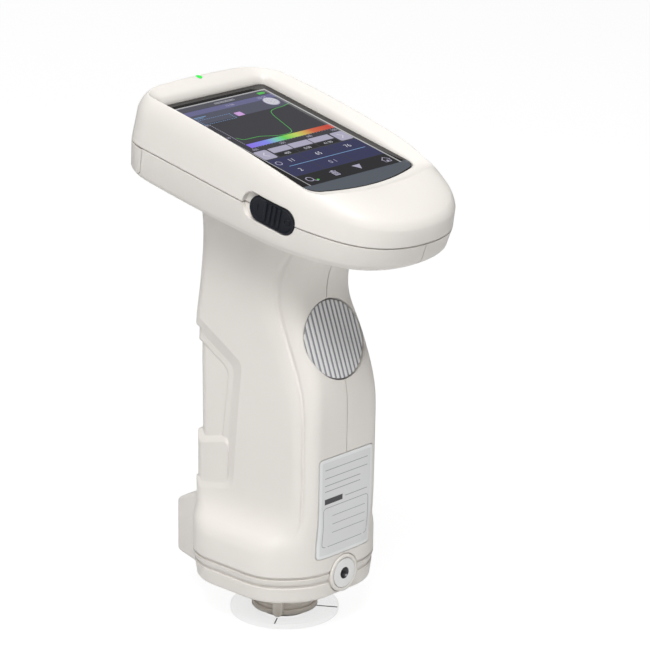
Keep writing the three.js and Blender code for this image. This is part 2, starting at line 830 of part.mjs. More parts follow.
// Half width of the grip at a height
function flankAt(z) {
  const share = (z - baseTop) / (gripTop - baseTop);
  return baseHalfWidth * stationAt(Math.min(Math.max(share, 0), 1))[3];
}

// A solid across the grip from outlines in depth and height at given depths under both of its flanks
function loftAcross(rows) {
  const side = (sign) => rows.map(([depth, outline]) => outline.map((point) => (
    new THREE.Vector3(point.x, point.y, sign * (flankAt(point.y) - depth))
  )));
  return solid(loft([...side(-1).reverse(), ...side(1)]).applyMatrix4(depthUpAcross));
}

// The space inside the body at a given depth under its skin
function innerBody(depth) {
  const thick = depth + grooveDepth;
  const foot = [
    sectionRing(baseBottom + depth, 0, thick + bottomTaper),
    sectionRing(upperGrooveTop + depth, 0, thick),
  ];
  const backed = solid(across(recessOutline(depth)))
    .subtract(gripLoft(depth + recessDepth, [], coreRingShares));
  const grip = gripLoft(depth, foot, coreRingShares).subtract(backed);
  const head = inHead(loft([
    headRing(lowerBevelInset + depth / 2, lowerBandLevel, depth - lowerBevelDrop),
    headRing(lowerBandInset + depth, lowerBandLevel, depth / 2),
    headRing(depth, partingLevel, overrun),
  ]));
  return grip.add(rearBoxLoft(depth)).add(head);
}

// Matrix of the measuring button's frame: z out of its face, y up the slope
const buttonFrame = new THREE.Matrix4().makeRotationX(Math.PI / 2 - buttonSlope)
  .setPosition(0, -buttonFace, buttonHeight);

function inButton(geometry) {
  return solid(geometry.applyMatrix4(buttonFrame));
}

const buttonBore = buttonRadius + gap;
const lugTop = -(buttonCapDepth - buttonLugThickness);
const collarEnd = lugTop + gap;
const guideTop = -buttonCapDepth - buttonTravel - gap;
const guideBottom = guideTop - guideThickness;
const stemEnd = -buttonCapDepth - stemLength;
const plungerTop = stemEnd - gap;
const tactTop = plungerTop - plungerLength + plungerDip;
const tactBottom = tactTop - tactHeight;
const buttonBoardTop = tactBottom - gap;
const buttonBoardBottom = buttonBoardTop - boardThickness;
const legEnd = buttonBoardTop + gap;

// Matrix of the power switch's frame: x towards the nose, y up the flank, z out of it
const sliderFrame = headFrame.clone().multiply(new THREE.Matrix4().makeBasis(
  new THREE.Vector3(Math.sin(sliderYaw), -Math.cos(sliderYaw), 0),
  new THREE.Vector3(0, 0, 1),
  new THREE.Vector3(-Math.cos(sliderYaw), -Math.sin(sliderYaw), 0),
).setPosition(-sliderFace, -sliderPlace, sliderLevel));

function inSlider(geometry) {
  return solid(geometry.applyMatrix4(sliderFrame));
}

const slotFloor = -sliderThickness - gap;
const padEnd = slotFloor - padThickness;
const slotMiddle = -sliderTravel / 2;
const slotHalfLength = sliderHalfLength + sliderTravel / 2 + gap;
const neckEnd = padEnd - gap;
const catchEnd = neckEnd - catchThickness;

// The part of the head between two heights over the parting line
function partingSpace(low, high) {
  return inHead(loft([headRing(-overrun, partingLevel, low), headRing(-overrun, partingLevel, high)]));
}

function switchPad(low, high) {
  const outline = stadium(slotHalfLength + padBorder, sliderHalfHeight + gap + padBorder);
  return inSlider(slab(outline, padEnd, slotFloor - gap).translate(slotMiddle, 0, 0))
    .intersect(partingSpace(low, high));
}

function switchCut() {
  const slot = slab(stadium(slotHalfLength, sliderHalfHeight + gap), slotFloor, far);
  const halfLength = neckHalfLength + sliderTravel / 2 + gap;
  const halfHeight = neckHalfHeight + gap;
  const neck = block(-halfLength, halfLength, -halfHeight, halfHeight, padEnd - overrun, slotFloor + overrun);
  return inSlider(slot.translate(slotMiddle, 0, 0)).add(inSlider(neck.translate(slotMiddle, 0, 0)));
}

const snoutTop = baseFloor + gap + snoutFlangeThickness;
const sphereNeck = snoutTop + gap;
const sphereOuter = sphereRadius + sphereWall;
const sphereRise = Math.sqrt(sphereOuter ** 2 - sphereNeckRadius ** 2);
const sphereMiddle = sphereNeck + sphereNeckLength + sphereRise;
const shelfTop = sphereMiddle - gap / 2 - sphereFlangeThickness - gap;
const lampBoardBottom = sphereMiddle + sphereOuter + gap;
const benchBottom = lampBoardBottom + boardThickness + gap;
const frontScrewPlace = [frontScrewDepth, benchBottom - frontScrewDrop];
const shellScrewPlaces = [footScrewPlace, frontScrewPlace, rearScrewPlace, neckScrewPlace];
const benchTop = benchBottom + benchHeight;
const lidBottom = benchTop - benchWall;
const batteryShelf = batteryBottom - gap;
const insertFace = -baseFront - collarProud;
const insertRear = insertFace + insertLength;

// A frame across the inside of the grip that is open over the given outline
function ribAround(outline, level, thickness, front) {
  const plate = block(-far, far, front, far, level - thickness, level);
  return solid(plate).subtract(solid(slab(outline, level - thickness - overrun, level + overrun)));
}

function gripFeatures() {
  const bench = roundedBox(-benchHalfWidth - gap, benchHalfWidth + gap, -benchFront - gap, benchRear + gap,
    benchCorner);
  const battery = (grow) => roundedBox(-batteryHalfWidth - grow, batteryHalfWidth + grow,
    batteryFront - grow, batteryRear + grow, batteryCorner);
  const shelfHole = new THREE.EllipseCurve(0, 0, sphereFlangeRadius - shelfBearing,
    sphereFlangeRadius - shelfBearing).getPoints(innerSteps).slice(1);
  const barFront = batteryFront - gap - ribBar;
  return [
    ribAround(shelfHole, shelfTop, shelfThickness, -far),
    ribAround(bench, benchBottom + benchHeight * benchRibShare, ribThickness, -far),
    ribAround(battery(-batteryRim), batteryShelf, shelfThickness, barFront),
    ribAround(battery(gap), batteryBottom + (batteryTop - batteryBottom) * batteryRibShare, ribThickness,
      barFront),
    ...shellScrewPlaces.map(([y, z]) => solid(cylinderAcross(bossRadius, -far, far, y, z))),
    insertPad(),
    ...guidePads(),
    inButton(cylinder(buttonBore + buttonCollarWall, collarEnd, wall + overrun, largeSteps)),
  ];
}

// Thick pad behind the threaded insert
function insertPad() {
  const half = collarRadius + gap + wall / 2;
  return solid(block(-half, half, -far, insertRear + gap + wall, baseBottom, insertHeight + half));
}

// Slotted pads that trap both ends of the button guide
function guidePads() {
  const start = guideHalfLength - guidePadLength;
  return [1, -1].map((side) => {
    const [low, high] = [start, guideHalfLength + gap + shelfThickness].map((y) => side * y);
    const half = guideHalfWidth + shelfThickness;
    const pad = block(-half, half, Math.min(low, high), Math.max(low, high),
      guideBottom - gap - shelfThickness, wall + overrun);
    const end = side * (guideHalfLength + gap);
    const slot = block(-guideHalfWidth, guideHalfWidth, Math.min(0, end), Math.max(0, end),
      guideBottom - gap, guideTop + gap);
    return inButton(pad).subtract(inButton(slot));
  });
}

const headFloor = lowerBandLevel[1] - lowerBevelDrop;
const capRearWall = headRear - headRearBow - lowerBandInset - wall;
const portBoardBottom = portLevel - socketHeight / 2 - gap - boardThickness;

function headFeatures() {
  const posts = headScrewPlaces.map(([x, v]) => (
    inHead(cylinder(bossRadius, headFloor, levelAt(partingLevel, v) - partingGap / 2).translate(x, v, 0))
  ));
  const portPosts = [portPostAside, -portPostAside].map((x) => (
    inHead(cylinder(portPostRadius, headFloor, portBoardBottom - gap)
      .translate(x, headRear - portPostBehind, 0))
  ));
  return [...posts, ...portPosts];
}

function bodyCuts() {
  const label = roundedBox(-labelHalfWidth - gap, labelHalfWidth + gap, labelBottom - gap, labelTop + gap,
    labelCorner + gap);
  const labelDepth = labelThickness - labelProud + gap;
  const labelCut = solid(facingFront(label, -far, 0)).subtract(gripLoft(labelDepth, labelFoot(labelDepth)));
  const tip = shellScrewSeat - shellScrewLength;
  const shellScrews = shellScrewPlaces.flatMap(([y, z]) => [
    solid(cylinderAcross(screwHeadRadius + gap, shellScrewSeat, far, y, z)),
    solid(cylinderAcross(screwRadius + gap, tip - pilotSpare, shellScrewSeat + gap, y, z)),
  ]);
  const headScrews = headScrewPlaces.flatMap(([x, v]) => [
    inHead(cylinder(screwHeadRadius + gap, headFloor - overrun, headScrewSeat).translate(x, v, 0)),
    inHead(cylinder(screwRadius + gap, headScrewSeat - gap, 0).translate(x, v, 0)),
  ]);
  const port = slab(roundedBox(-portHalfWidth, portHalfWidth, portLevel - portHalfHeight,
    portLevel + portHalfHeight, portCorner), capStart, far).rotateX(Math.PI / 2).rotateZ(Math.PI);
  return [
    labelCut, ...shellScrews, ...headScrews, inHead(port), switchCut(),
    inButton(cylinder(buttonBore, collarEnd - overrun, wall + overrun, largeSteps)),
    solid(cylinder(snoutRadius + gap, -overrun, baseFloor + overrun, largeSteps)),
    solid(cylinder(collarRadius + gap, insertFace - overrun, insertRear + gap, turnedSteps)
      .rotateX(-Math.PI / 2).translate(0, 0, insertHeight)),
  ];
}

// An outline across and up the front, as a prism in depth
function facingFront(outline, from, to) {
  return prism(outline, to - from).rotateX(Math.PI / 2).translate(0, to, 0);
}

function labelFoot(inset) {
  return [sectionRing(upperGrooveTop, 0, inset)];
}

// The region behind the seam of the rear cap, in the head's frame
function capRegion(shift) {
  const start = capStart + shift;
  const outline = [
    [start, far], [start, capCornerLevel], [start + capSlopeRun, capCornerLevel - capSlopeDrop],
    [start + far, capCornerLevel - capSlopeDrop], [start + far, far],
  ].map(([v, w]) => new THREE.Vector2(v, w));
  return inHead(across(outline));
}

const body = outerBody();
const features = union([...gripFeatures(), ...headFeatures()]).intersect(innerBody(wall / 2));
const shell = bodyCuts().reduce((total, cutter) => total.subtract(cutter),
  body.subtract(innerBody(wall)).add(features).add(switchPad(-far, -partingGap / 2)));
const halves = shell.subtract(capRegion(0));

function rearCap() {
  return shell.intersect(capRegion(gap)).intersect(partingSpace(-far, -partingGap / 2 - capDrop));
}

// Screen stack and main board
const displayTop = levelAt(roof, -displayHalfLength) - displaySlack;

function displayModule() {
  const frame = slab(roundedBox(-displayHalfWidth, displayHalfWidth, -displayHalfLength, displayHalfLength,
    displayCorner), displayTop - displayDepth, displayTop);
  const raised = block(-windowHalfWidth + gap, windowHalfWidth - gap, -windowHalfLength + gap,
    windowHalfLength - gap, displayTop - displayDepth, seatLevel);
  return inHead(frame).add(inHead(raised));
}

function screenGlass() {
  const ring = (height) => glassRing(0, 0, () => height);
  return inHead(loft([ring(glassBottom), ring(glassTop)]));
}

function mainBoard() {
  const low = boardTop - boardThickness;
  const sheet = slab(roundedBox(-boardHalfWidth, boardHalfWidth, -boardNose, boardRear, boardCorner),
    low, boardTop);
  const tongue = block(-boardTongueHalfWidth, boardTongueHalfWidth, 0, boardRear + boardTongueLength, low,
    boardTop);
  const chip = ([x, v], half, height) => block(x - half, x + half, v - half, v + half, low - height,
    boardTop);
  const holes = standoffPlaces.map(([x, v]) => (
    inHead(cylinder(screwRadius + gap, low - overrun, boardTop + overrun).translate(x, v, 0))
  ));
  const pieces = [sheet, tongue, chip(processorPlace, processorHalf, processorHeight),
    chip(shieldPlace, shieldHalf, shieldHeight)];
  return holes.reduce((total, hole) => total.subtract(hole), union(pieces.map(inHead)));
}

function statusLight() {
  const top = levelAt(crestLevel, lightPlace) + lightProud;
  const dome = turned([
    [0, boardTop + gap], [lightRadius, boardTop + gap], [lightRadius, top - lightProud], [0, top],
  ], smallSteps);
  return inHead(dome.translate(0, lightPlace, 0));
}

// Charging socket on its small board
function portBoard() {
  const rear = capRearWall - gap;
  return inHead(block(-portBoardHalfWidth, portBoardHalfWidth, rear - portBoardLength, rear,
    portBoardBottom, portBoardBottom + boardThickness));
}

function usbSocket() {
  const rear = capRearWall - gap;
  const outline = (shrink) => roundedBox(-socketHalfWidth + shrink, socketHalfWidth - shrink,
    -socketHeight / 2 + shrink, socketHeight / 2 - shrink, socketCorner - shrink);
  const along = (shape, from, to) => inHead(slab(shape, from, to).rotateX(Math.PI / 2).rotateZ(Math.PI)
    .translate(0, 0, portLevel));
  const tongue = block(-socketHalfWidth + socketWall + tongueInset, socketHalfWidth - socketWall - tongueInset,
    rear - socketLength + socketWall / 2, rear - tongueInset,
    portLevel - tongueThickness / 2, portLevel + tongueThickness / 2);
  return along(outline(0), rear - socketLength, rear)
    .subtract(along(outline(socketWall), rear - socketLength + socketWall, rear + overrun))
    .add(inHead(tongue));
}

// Power switch: the slider grips the knob of a switch on the main board's edge
const prongStart = knobHalfLength + gap;
const knobPlace = (sliderFace - boardHalfWidth - knobReach / 2) * Math.tan(sliderYaw) - sliderPlace;
const switchHalfHeight = boardScrewSeat - sliderLevel;

function powerSlider() {
  const plate = slab(stadium(sliderHalfLength, sliderHalfHeight), -sliderThickness, 0);
  const reach = sliderHalfHeight * sliderRibReachShare;
  const first = -((sliderRibs - 1) * sliderRibPitch) / 2;
  const ribs = Array.from({ length: sliderRibs }, (_, i) => {
    const x = first + i * sliderRibPitch;
    return block(x - sliderRibWidth / 2, x + sliderRibWidth / 2, -reach, reach, -sliderThickness,
      sliderRibHeight);
  });
  const neck = block(-neckHalfLength, neckHalfLength, -neckHalfHeight, neckHalfHeight, catchEnd, 0);
  const catchPlate = block(-catchHalfLength, catchHalfLength, -catchHalfHeight, catchHalfHeight, catchEnd,
    neckEnd);
  const prongs = [1, -1].map((side) => {
    const [low, high] = [prongStart, prongStart + prongWidth].map((x) => side * x);
    return block(Math.min(low, high), Math.max(low, high), -neckHalfHeight, neckHalfHeight,
      catchEnd - prongReach, neckEnd);
  });
  return union([plate, ...ribs, neck, catchPlate, ...prongs].map(inSlider));
}

function powerKnob() {
  return inHead(block(-boardHalfWidth - knobReach, -boardHalfWidth + knobSeat, knobPlace - knobHalfLength,
    knobPlace + knobHalfLength, sliderLevel - knobHalfHeight, sliderLevel + knobHalfHeight));
}

function powerSwitch() {
  const middle = knobPlace + sliderTravel / 2;
  const body = block(-boardHalfWidth, -boardHalfWidth + switchDepth, middle - switchHalfLength,
    middle + switchHalfLength, sliderLevel - switchHalfHeight, boardScrewSeat);
  const half = knobHalfLength + sliderTravel / 2 + gap;
  const slot = block(-boardHalfWidth - overrun, -boardHalfWidth + knobSeat + gap + knobSeat, middle - half,
    middle + half, sliderLevel - knobHalfHeight - gap, sliderLevel + knobHalfHeight + gap);
  return inHead(body).subtract(inHead(slot));
}

// Measuring button: a crowned cap with ribs, its stem, and the guide and switch behind it
function measureButton() {
  const pitch = (2 * buttonRadius) / buttonRibs;
  const crown = (x) => -buttonCrown * (x / buttonRadius) ** 2;
  const ridge = (x, height) => new THREE.Vector2(x, crown(x) + height);
  const top = Array.from({ length: buttonRibs }, (_, i) => {
    const middle = -buttonRadius + pitch * (i + 1 / 2);
    const half = (pitch * buttonRibShare) / 2;
    return [
      ridge(middle - half, -buttonRibHeight), ridge(middle - half, 0),
      ridge(middle + half, 0), ridge(middle + half, -buttonRibHeight),
    ];
  }).flat();
  const wide = buttonRadius + overrun;
  const section = [
    new THREE.Vector2(-wide, -buttonCapDepth), new THREE.Vector2(-wide, crown(wide) - buttonRibHeight),
    ...top,
    new THREE.Vector2(wide, crown(wide) - buttonRibHeight), new THREE.Vector2(wide, -buttonCapDepth),
  ];
  const ribbed = prism(section, 2 * wide).rotateX(Math.PI / 2).translate(0, wide, 0);
  const disc = inButton(ribbed).intersect(inButton(cylinder(buttonRadius, -far, far, largeSteps)));
  const lugs = [1, -1].map((side) => {
    const [low, high] = [0, buttonRadius + buttonLugReach].map((y) => side * y);
    return inButton(block(-buttonLugHalfWidth, buttonLugHalfWidth, Math.min(low, high), Math.max(low, high),
      -buttonCapDepth, -buttonCapDepth + buttonLugThickness));
  });
  return union([disc, ...lugs, inButton(cylinder(stemRadius, stemEnd, -buttonCapDepth / 2))]);
}

function buttonGuide() {
  const plate = block(-guideHalfWidth + gap, guideHalfWidth - gap, -guideHalfLength, guideHalfLength,
    guideBottom, guideTop);
  const legs = [1, -1].map((side) => {
    const [low, high] = [guideHalfWidth - gap - guideLegThickness, guideHalfWidth - gap].map((x) => side * x);
    return block(Math.min(low, high), Math.max(low, high), -guideLegHalfLength, guideLegHalfLength, legEnd,
      guideTop);
  });
  return union([plate, ...legs].map(inButton))
    .subtract(inButton(cylinder(stemRadius + gap, guideBottom - overrun, guideTop + overrun)));
}

function buttonBoard() {
  return inButton(block(-guideHalfWidth + gap, guideHalfWidth - gap, -buttonBoardHalfLength,
    buttonBoardHalfLength, buttonBoardBottom, buttonBoardTop));
}

function buttonSwitch() {
  const body = block(-tactHalfWidth, tactHalfWidth, -tactHalfWidth, tactHalfWidth, tactBottom, tactTop);
  const floor = plungerTop - plungerLength - buttonTravel - gap;
  return inButton(body).subtract(inButton(cylinder(plungerRadius + gap, floor, tactTop + overrun)));
}

function switchPlunger() {
  return inButton(cylinder(plungerRadius, plungerTop - plungerLength, plungerTop));
}

// Label and threaded insert
function labelPlate() {
  const outline = roundedBox(-labelHalfWidth, labelHalfWidth, labelBottom, labelTop, labelCorner);
  const depth = labelThickness - labelProud;
  return solid(facingFront(outline, -far, 0)).intersect(gripLoft(-labelProud, labelFoot(-labelProud)))
    .subtract(gripLoft(depth, labelFoot(depth)));
}

function turnedFront(profile) {
  return solid(turned(profile).rotateX(-Math.PI / 2).translate(0, 0, insertHeight));
}

function insertCollar() {
  const inner = insertRadius + gap;
  return turnedFront([
    [inner, insertFace], [collarRadius - insertEdge, insertFace], [collarRadius, insertFace + insertEdge],
    [collarRadius, insertRear], [inner, insertRear],
  ]);
}

function threadedInsert() {
  return turnedFront([
    [insertBoreRadius + insertEdge, insertFace], [insertRadius, insertFace], [insertRadius, insertRear],
    [0, insertRear],
    [0, insertFace + insertBoreDepth], [insertBoreRadius, insertFace + insertBoreDepth],
    [insertBoreRadius, insertFace + insertEdge],
  ]);
}

// Measuring port and the stabilizer that turns on it
const noseTop = discThickness + gap;
const snoutBottom = noseTop + gap;
const snoutFlange = baseFloor + gap;

function apertureSnout() {
  return solid(turned([
    [snoutSeatRadius, snoutBottom], [snoutRadius, snoutBottom], [snoutRadius, snoutFlange],
    [snoutFlangeRadius, snoutFlange], [snoutFlangeRadius, snoutTop], [snoutBoreRadius, snoutTop],
    [snoutBoreRadius, snoutBottom + snoutSeatDepth], [snoutSeatRadius, snoutBottom + snoutSeatDepth],
  ]));
}

function apertureCap() {
  const plug = snoutSeatRadius - gap;
  const top = snoutBottom + snoutSeatDepth - gap;
  return solid(turned([
    [apertureRadius, noseLift], [noseRadius - noseEdge, noseLift], [noseRadius, noseLift + noseEdge],
    [noseRadius, noseTop], [plug, noseTop], [plug, top], [snoutBoreRadius, top],
    [apertureRadius, noseLift + noseEdge],
  ]));
}

const ringInner = snoutRadius + gap;

function stabilizerRing() {
  const low = discThickness + gap;
  const ring = solid(turned([
    [ringInner, low], [ringInner + ringWidth, low], [ringInner + ringWidth, low + ringHeight],
    [ringInner, low + ringHeight],
  ]));
  const leg = slab(stadium(ringInner + legDepth, legWidth / 2), low, legTop)
    .rotateZ(Math.PI / 2 - legAngle);
  const core = cylinder(ringInner, low - overrun, legTop + overrun, turnedSteps);
  return ring.add(solid(leg).subtract(solid(core)));
}

function stabilizerDisc() {
  const [low, high] = [discEdge, discThickness - discEdge];
  return solid(turned([
    [discHoleRadius, 0], [discRadius - discEdge, 0], [discRadius, low], [discRadius, high],
    [discRadius - discEdge, discThickness], [discHoleRadius, discThickness],
  ], largeSteps));
}

// Integrating sphere in two halves, lamps over it and the spectrometer on top
function sphereArc(radius, from, to) {
  return Array.from({ length: sphereArcSteps + 1 }, (_, i) => {
    const angle = from + ((to - from) * i) / sphereArcSteps;
    return [radius * Math.cos(angle), sphereMiddle + radius * Math.sin(angle)];
  });
}

function sphereLower() {
  const level = sphereMiddle - gap / 2;
  const start = -Math.acos(sphereNeckRadius / sphereOuter);
  const port = -Math.acos(sphereLowerPort / sphereRadius);
  const flange = Math.asin((level - sphereFlangeThickness - sphereMiddle) / sphereOuter);
  return solid(turned([
    [sphereLowerPort, sphereNeck], [sphereNeckRadius, sphereNeck], ...sphereArc(sphereOuter, start, flange),
    [sphereFlangeRadius, level - sphereFlangeThickness], [sphereFlangeRadius, level],
    ...sphereArc(sphereRadius, Math.asin((level - sphereMiddle) / sphereRadius), port),
  ], innerSteps));
}

function sphereUpper() {
  const level = sphereMiddle + gap / 2;
  const flange = Math.asin((level + sphereFlangeThickness - sphereMiddle) / sphereOuter);
  const [inner, outer] = [sphereRadius, sphereOuter].map((radius) => Math.acos(sphereUpperPort / radius));
  const shape = solid(turned([
    ...sphereArc(sphereRadius, inner, Math.asin((level - sphereMiddle) / sphereRadius)),
    [sphereFlangeRadius, level], [sphereFlangeRadius, level + sphereFlangeThickness],
    ...sphereArc(sphereOuter, flange, outer),
  ], innerSteps));
  return lampCircleOf(lampRadius + gap, sphereMiddle, lampBoardBottom)
    .reduce((total, hole) => total.subtract(hole), shape);
}

function lampCircleOf(radius, low, high) {
  return Array.from({ length: lamps }, (_, i) => {
    const angle = (Math.PI * 2 * i) / lamps;
    return solid(cylinder(radius, low, high, boreSteps)
      .translate(lampCircle * Math.cos(angle), lampCircle * Math.sin(angle), 0));
  });
}

function lampBoard() {
  const top = lampBoardBottom + boardThickness;
  const sheet = solid(turned([
    [sphereUpperPort, lampBoardBottom], [lampBoardRadius, lampBoardBottom], [lampBoardRadius, top],
    [sphereUpperPort, top],
  ], innerSteps));
  return union([sheet, ...lampCircleOf(lampRadius, lampBoardBottom - lampLength, top)]);
}

function benchOutline(shrink) {
  return roundedBox(-benchHalfWidth + shrink, benchHalfWidth - shrink, -benchFront + shrink,
    benchRear - shrink, Math.max(benchCorner - shrink, gap));
}

const benchFloor = benchBottom + benchWall;

function spectrometerCase() {
  return solid(slab(benchOutline(0), benchBottom, lidBottom - gap))
    .subtract(solid(slab(benchOutline(benchWall), benchFloor, benchTop)))
    .subtract(solid(cylinder(slitRadius, benchBottom - overrun, benchFloor + overrun)));
}

function spectrometerLid() {
  const lip = solid(slab(benchOutline(benchWall + gap), lidBottom - benchWall, lidBottom + benchWall / 2))
    .subtract(solid(slab(benchOutline(2 * benchWall + gap), lidBottom - overrun, lidBottom)));
  return solid(slab(benchOutline(0), lidBottom, benchTop)).add(lip);
}

function grating() {
  const rear = benchRear - benchWall - gap;
  const low = benchFloor + gap;
  return solid(across([
    new THREE.Vector2(rear - gratingFoot, low), new THREE.Vector2(rear, low),
    new THREE.Vector2(rear, low + gratingHeight), new THREE.Vector2(rear - gratingHead, low + gratingHeight),
  ], -gratingHalfWidth, gratingHalfWidth));
}

function detectorBoard() {
  const front = -benchFront + benchWall + gap;
  const low = benchFloor + gap;
  const middle = low + detectorHeight / 2;
  const sheet = block(-detectorHalfWidth, detectorHalfWidth, front, front + boardThickness, low,
    low + detectorHeight);
  const chip = block(-chipHalfWidth, chipHalfWidth, front, front + boardThickness + chipThickness,
    middle - chipHeight / 2, middle + chipHeight / 2);
  return solid(sheet).add(solid(chip));
}

function batteryPack() {
  return solid(slab(roundedBox(-batteryHalfWidth, batteryHalfWidth, batteryFront, batteryRear, batteryCorner),
    batteryBottom, batteryTop));
}

// A screw along the vertical axis with its head's seat at height zero and its tip at its length
function screw(length) {
  return turned([
    [0, -screwHeadHeight], [screwHeadRadius, -screwHeadHeight], [screwHeadRadius, 0], [screwRadius, 0],
    [screwRadius, length - screwRadius], [0, length],
  ], boreSteps);
}

const instrument = new THREE.Group();
const housing = new THREE.Group();
const stabilizer = new THREE.Group();
instrument.add(housing, stabilizer);

function add(name, shape, look, parent = housing) {
  const mesh = new THREE.Mesh(geometryOf(shape), new THREE.MeshStandardMaterial(look));
  mesh.name = name;
  parent.add(mesh);
}

add('top_shell', topShell(), ivory);
add('left_shell', halves.intersect(solid(block(-far, -gap / 2, -far, far, -far, far))), ivory);
add('right_shell', halves.intersect(solid(block(gap / 2, far, -far, far, -far, far))), ivory);
add('rear_cap', rearCap(), ivory);
add('screen_glass', screenGlass(), darkGlass);
add('display_module', displayModule(), blackPlastic);
add('status_light', statusLight(), signalGreen);
add('power_slider', powerSlider(), blackPlastic);
add('power_knob', powerKnob(), blackPlastic);
add('power_switch', powerSwitch(), steel);
add('measure_button', measureButton(), greyPlastic);
add('switch_plunger', switchPlunger(), blackPlastic);
add('button_guide', buttonGuide(), blackPlastic);
add('button_board', buttonBoard(), boardGreen);
add('button_switch', buttonSwitch(), steel);
add('label_plate', labelPlate(), labelPaper);
add('threaded_insert', threadedInsert(), steel);
add('insert_collar', insertCollar(), ivory);
add('aperture_snout', apertureSnout(), portGrey);
add('aperture_cap', apertureCap(), portGrey);
add('stabilizer_ring', stabilizerRing(), portGrey, stabilizer);
add('stabilizer_disc', stabilizerDisc(), clearPlastic, stabilizer);
add('sphere_lower', sphereLower(), coatingWhite);
add('sphere_upper', sphereUpper(), coatingWhite);
add('lamp_board', lampBoard(), boardGreen);
add('spectrometer_case', spectrometerCase(), blackPlastic);
add('spectrometer_lid', spectrometerLid(), blackPlastic);
add('grating', grating(), steel);
add('detector_board', detectorBoard(), boardGreen);
add('battery_pack', batteryPack(), batteryBlue);
add('main_board', mainBoard(), boardGreen);
add('port_board', portBoard(), boardGreen);
add('usb_socket', usbSocket(), steel);

shellScrewPlaces.forEach(([y, z], i) => {
  const turn = screw(shellScrewLength).rotateY(-Math.PI / 2).translate(shellScrewSeat + gap, y, z);
  add(`shell_screw_${i + 1}`, solid(turn), steel);
});
headScrewPlaces.forEach(([x, v], i) => {
  add(`head_screw_${i + 1}`, inHead(screw(headScrewLength).translate(x, v, headScrewSeat - gap)), steel);
});
standoffPlaces.forEach(([x, v], i) => {
  add(`board_screw_${i + 1}`, inHead(screw(boardScrewLength).translate(x, v, boardScrewSeat)), steel);
});

// The origin is under the middle of the instrument's outline
const box = new THREE.Box3().setFromObject(instrument);
instrument.position.set(-(box.min.x + box.max.x) / 2, -(box.min.y + box.max.y) / 2, -box.min.z);

export default instrument;
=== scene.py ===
# Portable color spectrometer: the looks of its housing, display, controls and measuring port
import itertools
import json
import math

import bmesh
import bpy
import numpy as np
from mathutils import Matrix, Vector


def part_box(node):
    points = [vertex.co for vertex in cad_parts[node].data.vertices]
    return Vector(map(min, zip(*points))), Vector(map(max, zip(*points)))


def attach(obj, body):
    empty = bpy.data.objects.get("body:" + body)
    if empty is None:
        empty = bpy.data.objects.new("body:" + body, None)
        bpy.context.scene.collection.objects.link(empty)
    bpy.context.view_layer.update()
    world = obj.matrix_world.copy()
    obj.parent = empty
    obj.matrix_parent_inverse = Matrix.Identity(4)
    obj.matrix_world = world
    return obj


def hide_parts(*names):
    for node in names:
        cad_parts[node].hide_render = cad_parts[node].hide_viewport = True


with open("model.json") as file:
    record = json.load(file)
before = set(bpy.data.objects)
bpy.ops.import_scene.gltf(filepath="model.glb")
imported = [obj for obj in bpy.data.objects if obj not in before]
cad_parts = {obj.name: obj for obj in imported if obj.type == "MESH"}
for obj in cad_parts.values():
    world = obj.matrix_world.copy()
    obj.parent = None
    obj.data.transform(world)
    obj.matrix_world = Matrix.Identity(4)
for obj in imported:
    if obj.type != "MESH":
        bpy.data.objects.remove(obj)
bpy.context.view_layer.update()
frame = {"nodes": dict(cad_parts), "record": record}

# The script's own lengths are millimetres over the measuring axis; the frame's are metres
MM = 0.001
disc_low, disc_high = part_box("stabilizer_disc")
AXIS_Y = (disc_low.y + disc_high.y) / 2 / MM

# The gap between pieces, the housing's wall, and the depth past which the inside is the CAD's own
GAP = 0.3
WALL = 2.4
KEPT_DEPTH = 1.8
OVERRUN = 2
FAR = 300

# Head, in its own frame: v towards the rear and w out of the screen
SCREEN_TILT = math.radians(12.26)
SCREEN_SETBACK = 1.2
SCREEN_HEIGHT = 193.2
HEAD_HALF_WIDTH = 37
HEAD_REAR = 53.6
HEAD_NOSE = 75.5
HEAD_TAPER_START = 24
HEAD_REAR_BOW = 1.2
HEAD_REAR_CORNER = 13
HEAD_CORNER_SHARE = 0.55
PARTING_LEVEL = (-14.2, -12.8, -11.3)
BAND_LEVEL = (-1.3, -2, -4.9)
CREST_LEVEL = (5, 6.2, -2.4)
CROWN_LEVEL = (5.6, 7, -1.2)
LOWER_BAND_LEVEL = (-24.4, -23.4, -18)
BAND_INSET = 0.4
CREST_INSET = 3
CROWN_INSET = 9
BEVEL_SHARES = (0.3, 0.72)
RIM_SHARE = 0.6
LOWER_BAND_INSET = 0.9
LOWER_BEVEL_INSET = 4.6
LOWER_BEVEL_DROP = 3.5
LOWER_BEVEL_HANDLE = (0.5, 0.55)
PARTING_GAP = 0.5
ROOF_LEVEL = -2.3
ROOF_DROP = 2
NOSE_HANDLE_SHARE = 0.48
NOSE_CORNER_SHARES = (0.71, 0.845)
FLANK_SHARES = (0.82, 0.66)
FLANK_HANDLE_SHARES = (0.914, 0.505)
SIDE_HANDLE_SHARE = 0.272
HEAD_CURVE_STEPS = (28, 16, 14, 16, 10)

# Cover glass and dish
GLASS_HALF_WIDTH = 28.8
GLASS_REAR = 42.1
GLASS_NOSE_SIDE = 40.8
GLASS_NOSE_MIDDLE = 44.9
GLASS_CORNER = 5
GLASS_REAR_CORNER = 3.4
GLASS_BULGE_SHARE = 0.8
GLASS_THICKNESS = 0.8
GLASS_TOP = 0.45
GLASS_EDGE = 0.15
DISH_SHOULDER_GROW = 1.9
DISH_REAR_GROW = 3.5
DISH_SHOULDER_LEVEL = (4, 3.9, 1)
DISH_RUN_OUT = 9
DISH_RISE = 5
DISH_MIDDLE_RISE_SHARE = 0.42
DISH_FLARE = ((0.12, 0.3), (0.35, 0.62), (0.65, 0.86))
ACTIVE_HALF_WIDTH = 24.48
ACTIVE_HALF_LENGTH = 36.72
ACTIVE_BORDER = 0.8

